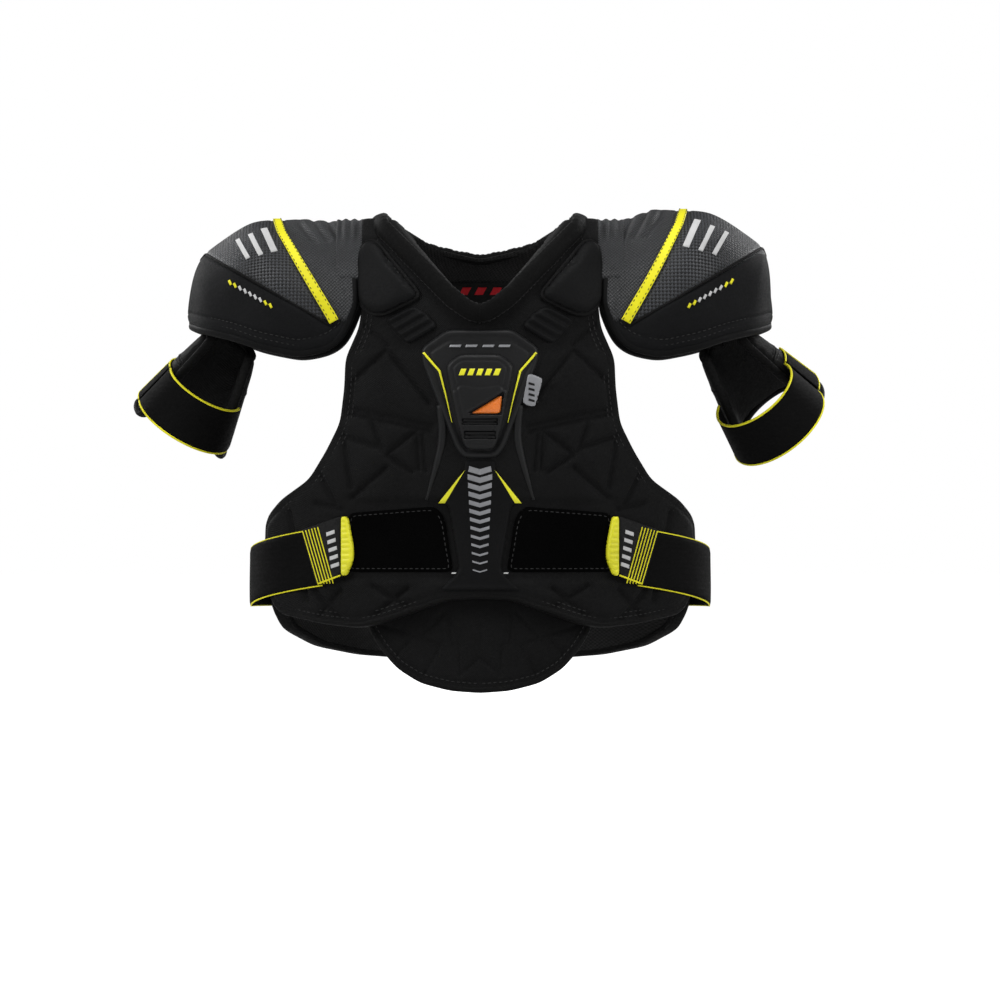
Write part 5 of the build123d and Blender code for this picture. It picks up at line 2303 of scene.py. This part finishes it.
        maker.piece(
            f"arm_tab_cloth_{self.word}", tab, ["elastic_webbing", "yellow_tape"], f"arm_tab_{self.word}",
            [f"arm_tab_{self.word}"], "elastic_webbing",
        )

    def build_hanger(self, maker: Maker) -> None:
        """Build the tape that hangs the guard inside the cap.

        Args:
            maker: Makes the pieces.
        """
        start, end = np.array([self.side * 214.0, 2.0, -22.0]), np.array(self.top) + np.array([0.0, 0.0, -3.0])
        path = softened([start, (start + end) / 2 + [self.side * 5.0, 0, 0], end], 12.0, 3.0, closed=False)
        out = np.tile([float(self.side), 0.0, 0.2], (len(path), 1))
        hanger = maker.piece(
            f"arm_hanger_{self.word}", Shape().add(swept(path, out, rounded_section(26.0, 2.0, 5.0, 16))),
            ["elastic_webbing"], None, (), "elastic_webbing",
        )
        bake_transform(hanger)

    def build(self, maker: Maker) -> None:
        """Build the whole guard."""
        self.build_pad(maker)
        self.build_strap(maker)
        self.build_hanger(maker)


# ---------------------------------------------------------------- studio
@dataclass
class Studio:
    """The camera, lights, floor and plain surroundings."""

    aim: tuple[float, float] = (0.0184, -0.259)
    distance: float = 7.0
    view_width: float = 0.92
    subject_depth: float = 0.085
    floor_gap: float = 0.03

    def camera(self) -> None:
        """Make the level camera in front of the pads."""
        data = bpy.data.cameras.new("studio_camera")
        camera = bpy.data.objects.new("studio_camera", data)
        bpy.context.scene.collection.objects.link(camera)
        camera.location = (self.aim[0], -self.distance - self.subject_depth, self.aim[1])
        camera.rotation_euler = (math.pi / 2, 0, 0)
        data.sensor_width = 36.0
        data.lens = data.sensor_width * self.distance / self.view_width
        data.clip_end = 60.0
        bpy.context.scene.camera = camera

    def softbox(self, name: str, place: tuple[float, float, float], size: float, power: float) -> None:
        """Make a square lamp that faces the pads.

        Args:
            name: Name of the lamp.
            place: Its place.
            size: Length of its side.
            power: Its power.
        """
        data = bpy.data.lights.new(name, "AREA")
        data.size, data.energy = size, power
        lamp = bpy.data.objects.new(name, data)
        bpy.context.scene.collection.objects.link(lamp)
        lamp.location = place
        lamp.rotation_euler = (Vector((0, 0, -0.22)) - Vector(place)).to_track_quat("-Z", "Y").to_euler()

    def surroundings(self) -> None:
        """Make the pale world: white to look at, dimmer as light."""
        world = bpy.data.worlds.new("pale_room")
        bpy.context.scene.world = world
        world.use_nodes = True
        world.node_tree.nodes.clear()
        w = Wiring(world.node_tree)
        seen = w.put("ShaderNodeLightPath").outputs["Is Camera Ray"]
        strength = w.put("ShaderNodeMapRange", {0: seen, 3: 0.09, 4: 1.0}).outputs[0]
        light = w.put("ShaderNodeBackground", {"Color": (1.0, 1.0, 1.0, 1.0), "Strength": strength})
        w.put("ShaderNodeOutputWorld", {"Surface": light.outputs[0]})
        bpy.context.scene.view_settings.view_transform = "Standard"

    def floor(self, lowest: float) -> None:
        """Make the round pale floor under the pads.

        Args:
            lowest: Height of the lowest point of the pads.
        """
        plate = bmesh.new()
        bmesh.ops.create_circle(plate, cap_ends=True, segments=96, radius=14.0)
        mesh = bpy.data.meshes.new("studio_floor")
        plate.to_mesh(mesh)
        plate.free()
        floor = bpy.data.objects.new("studio_floor", mesh)
        bpy.context.scene.collection.objects.link(floor)
        floor.location = (0, 0, lowest - self.floor_gap)
        material = bpy.data.materials.new("floor_paint")
        material.use_nodes = True
        w = Wiring(material.node_tree)
        paint = material.node_tree.nodes["Principled BSDF"]
        noise = w.put("ShaderNodeTexNoise", {"Scale": 3.0, "Detail": 2.0}).outputs[0]
        tone = w.blend(noise, (0.5, 0.5, 0.5, 1.0), (0.54, 0.54, 0.54, 1.0))
        seen = w.put("ShaderNodeLightPath").outputs["Is Camera Ray"]
        glow = w.put("ShaderNodeMapRange", {0: seen, 3: 0.1, 4: 0.97}).outputs[0]
        material.node_tree.links.new(glow, paint.inputs["Emission Strength"])
        material.node_tree.links.new(tone, paint.inputs["Base Color"])
        paint.inputs["Roughness"].default_value = 0.9
        paint.inputs["Emission Color"].default_value = (1.0, 1.0, 1.0, 1.0)
        mesh.materials.append(material)
        floor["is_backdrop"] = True

    def lights(self) -> None:
        """Make the lamps."""
        self.softbox("key_left", (-2.1, -1.2, 1.0), 1.1, 40.0)
        self.softbox("key_right", (2.2, -1.1, 0.7), 1.0, 30.0)
        self.softbox("front", (0.3, -3.4, 1.0), 1.6, 12.0)
        self.softbox("top", (0.0, -0.5, 2.3), 1.2, 40.0)
        self.softbox("rear_left", (-2.0, 2.0, 1.0), 1.2, 40.0)
        self.softbox("rear_right", (2.0, 2.0, 1.0), 1.2, 40.0)


def main() -> None:
    """Build the pads piece by piece."""
    logging.basicConfig(level=logging.INFO, format="%(name)s: %(message)s")
    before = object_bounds()
    studio = Studio()
    studio.camera()
    studio.surroundings()
    studio.lights()
    studio.floor(before[0].z)
    effects = Effects()
    maker = Maker({finish.name: finish.material(effects) for finish in FINISHES})
    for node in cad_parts.values():
        node.data.materials.clear()
        node.data.materials.append(maker.materials["hard_plastic"])
    form = TorsoForm()
    Vest(form).build(maker)
    NeckRoll(form).build(maker)
    FrontPads(form).build(maker)
    Sternum(form).build(maker)
    WaistStraps(form).build(maker)
    BellyFlap(form).build(maker)
    left, right = ShoulderCap(1, "left", crown=10.0), ShoulderCap(-1, "right", crown=1.0)
    for cap in (left, right):
        cap.build(maker)
    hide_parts("shoulder_webs")
    ArmGuard(1, "left", (226, 2, -113), (0.56, 0.46, -0.69), 208, 303, 28, 346, 46).build(maker)
    ArmGuard(-1, "right", (-232, 2, -114), (-0.50, 0.34, -0.80), 332, 268, 6, 194, -46).build(maker)


if __name__ == "__main__":
    main()
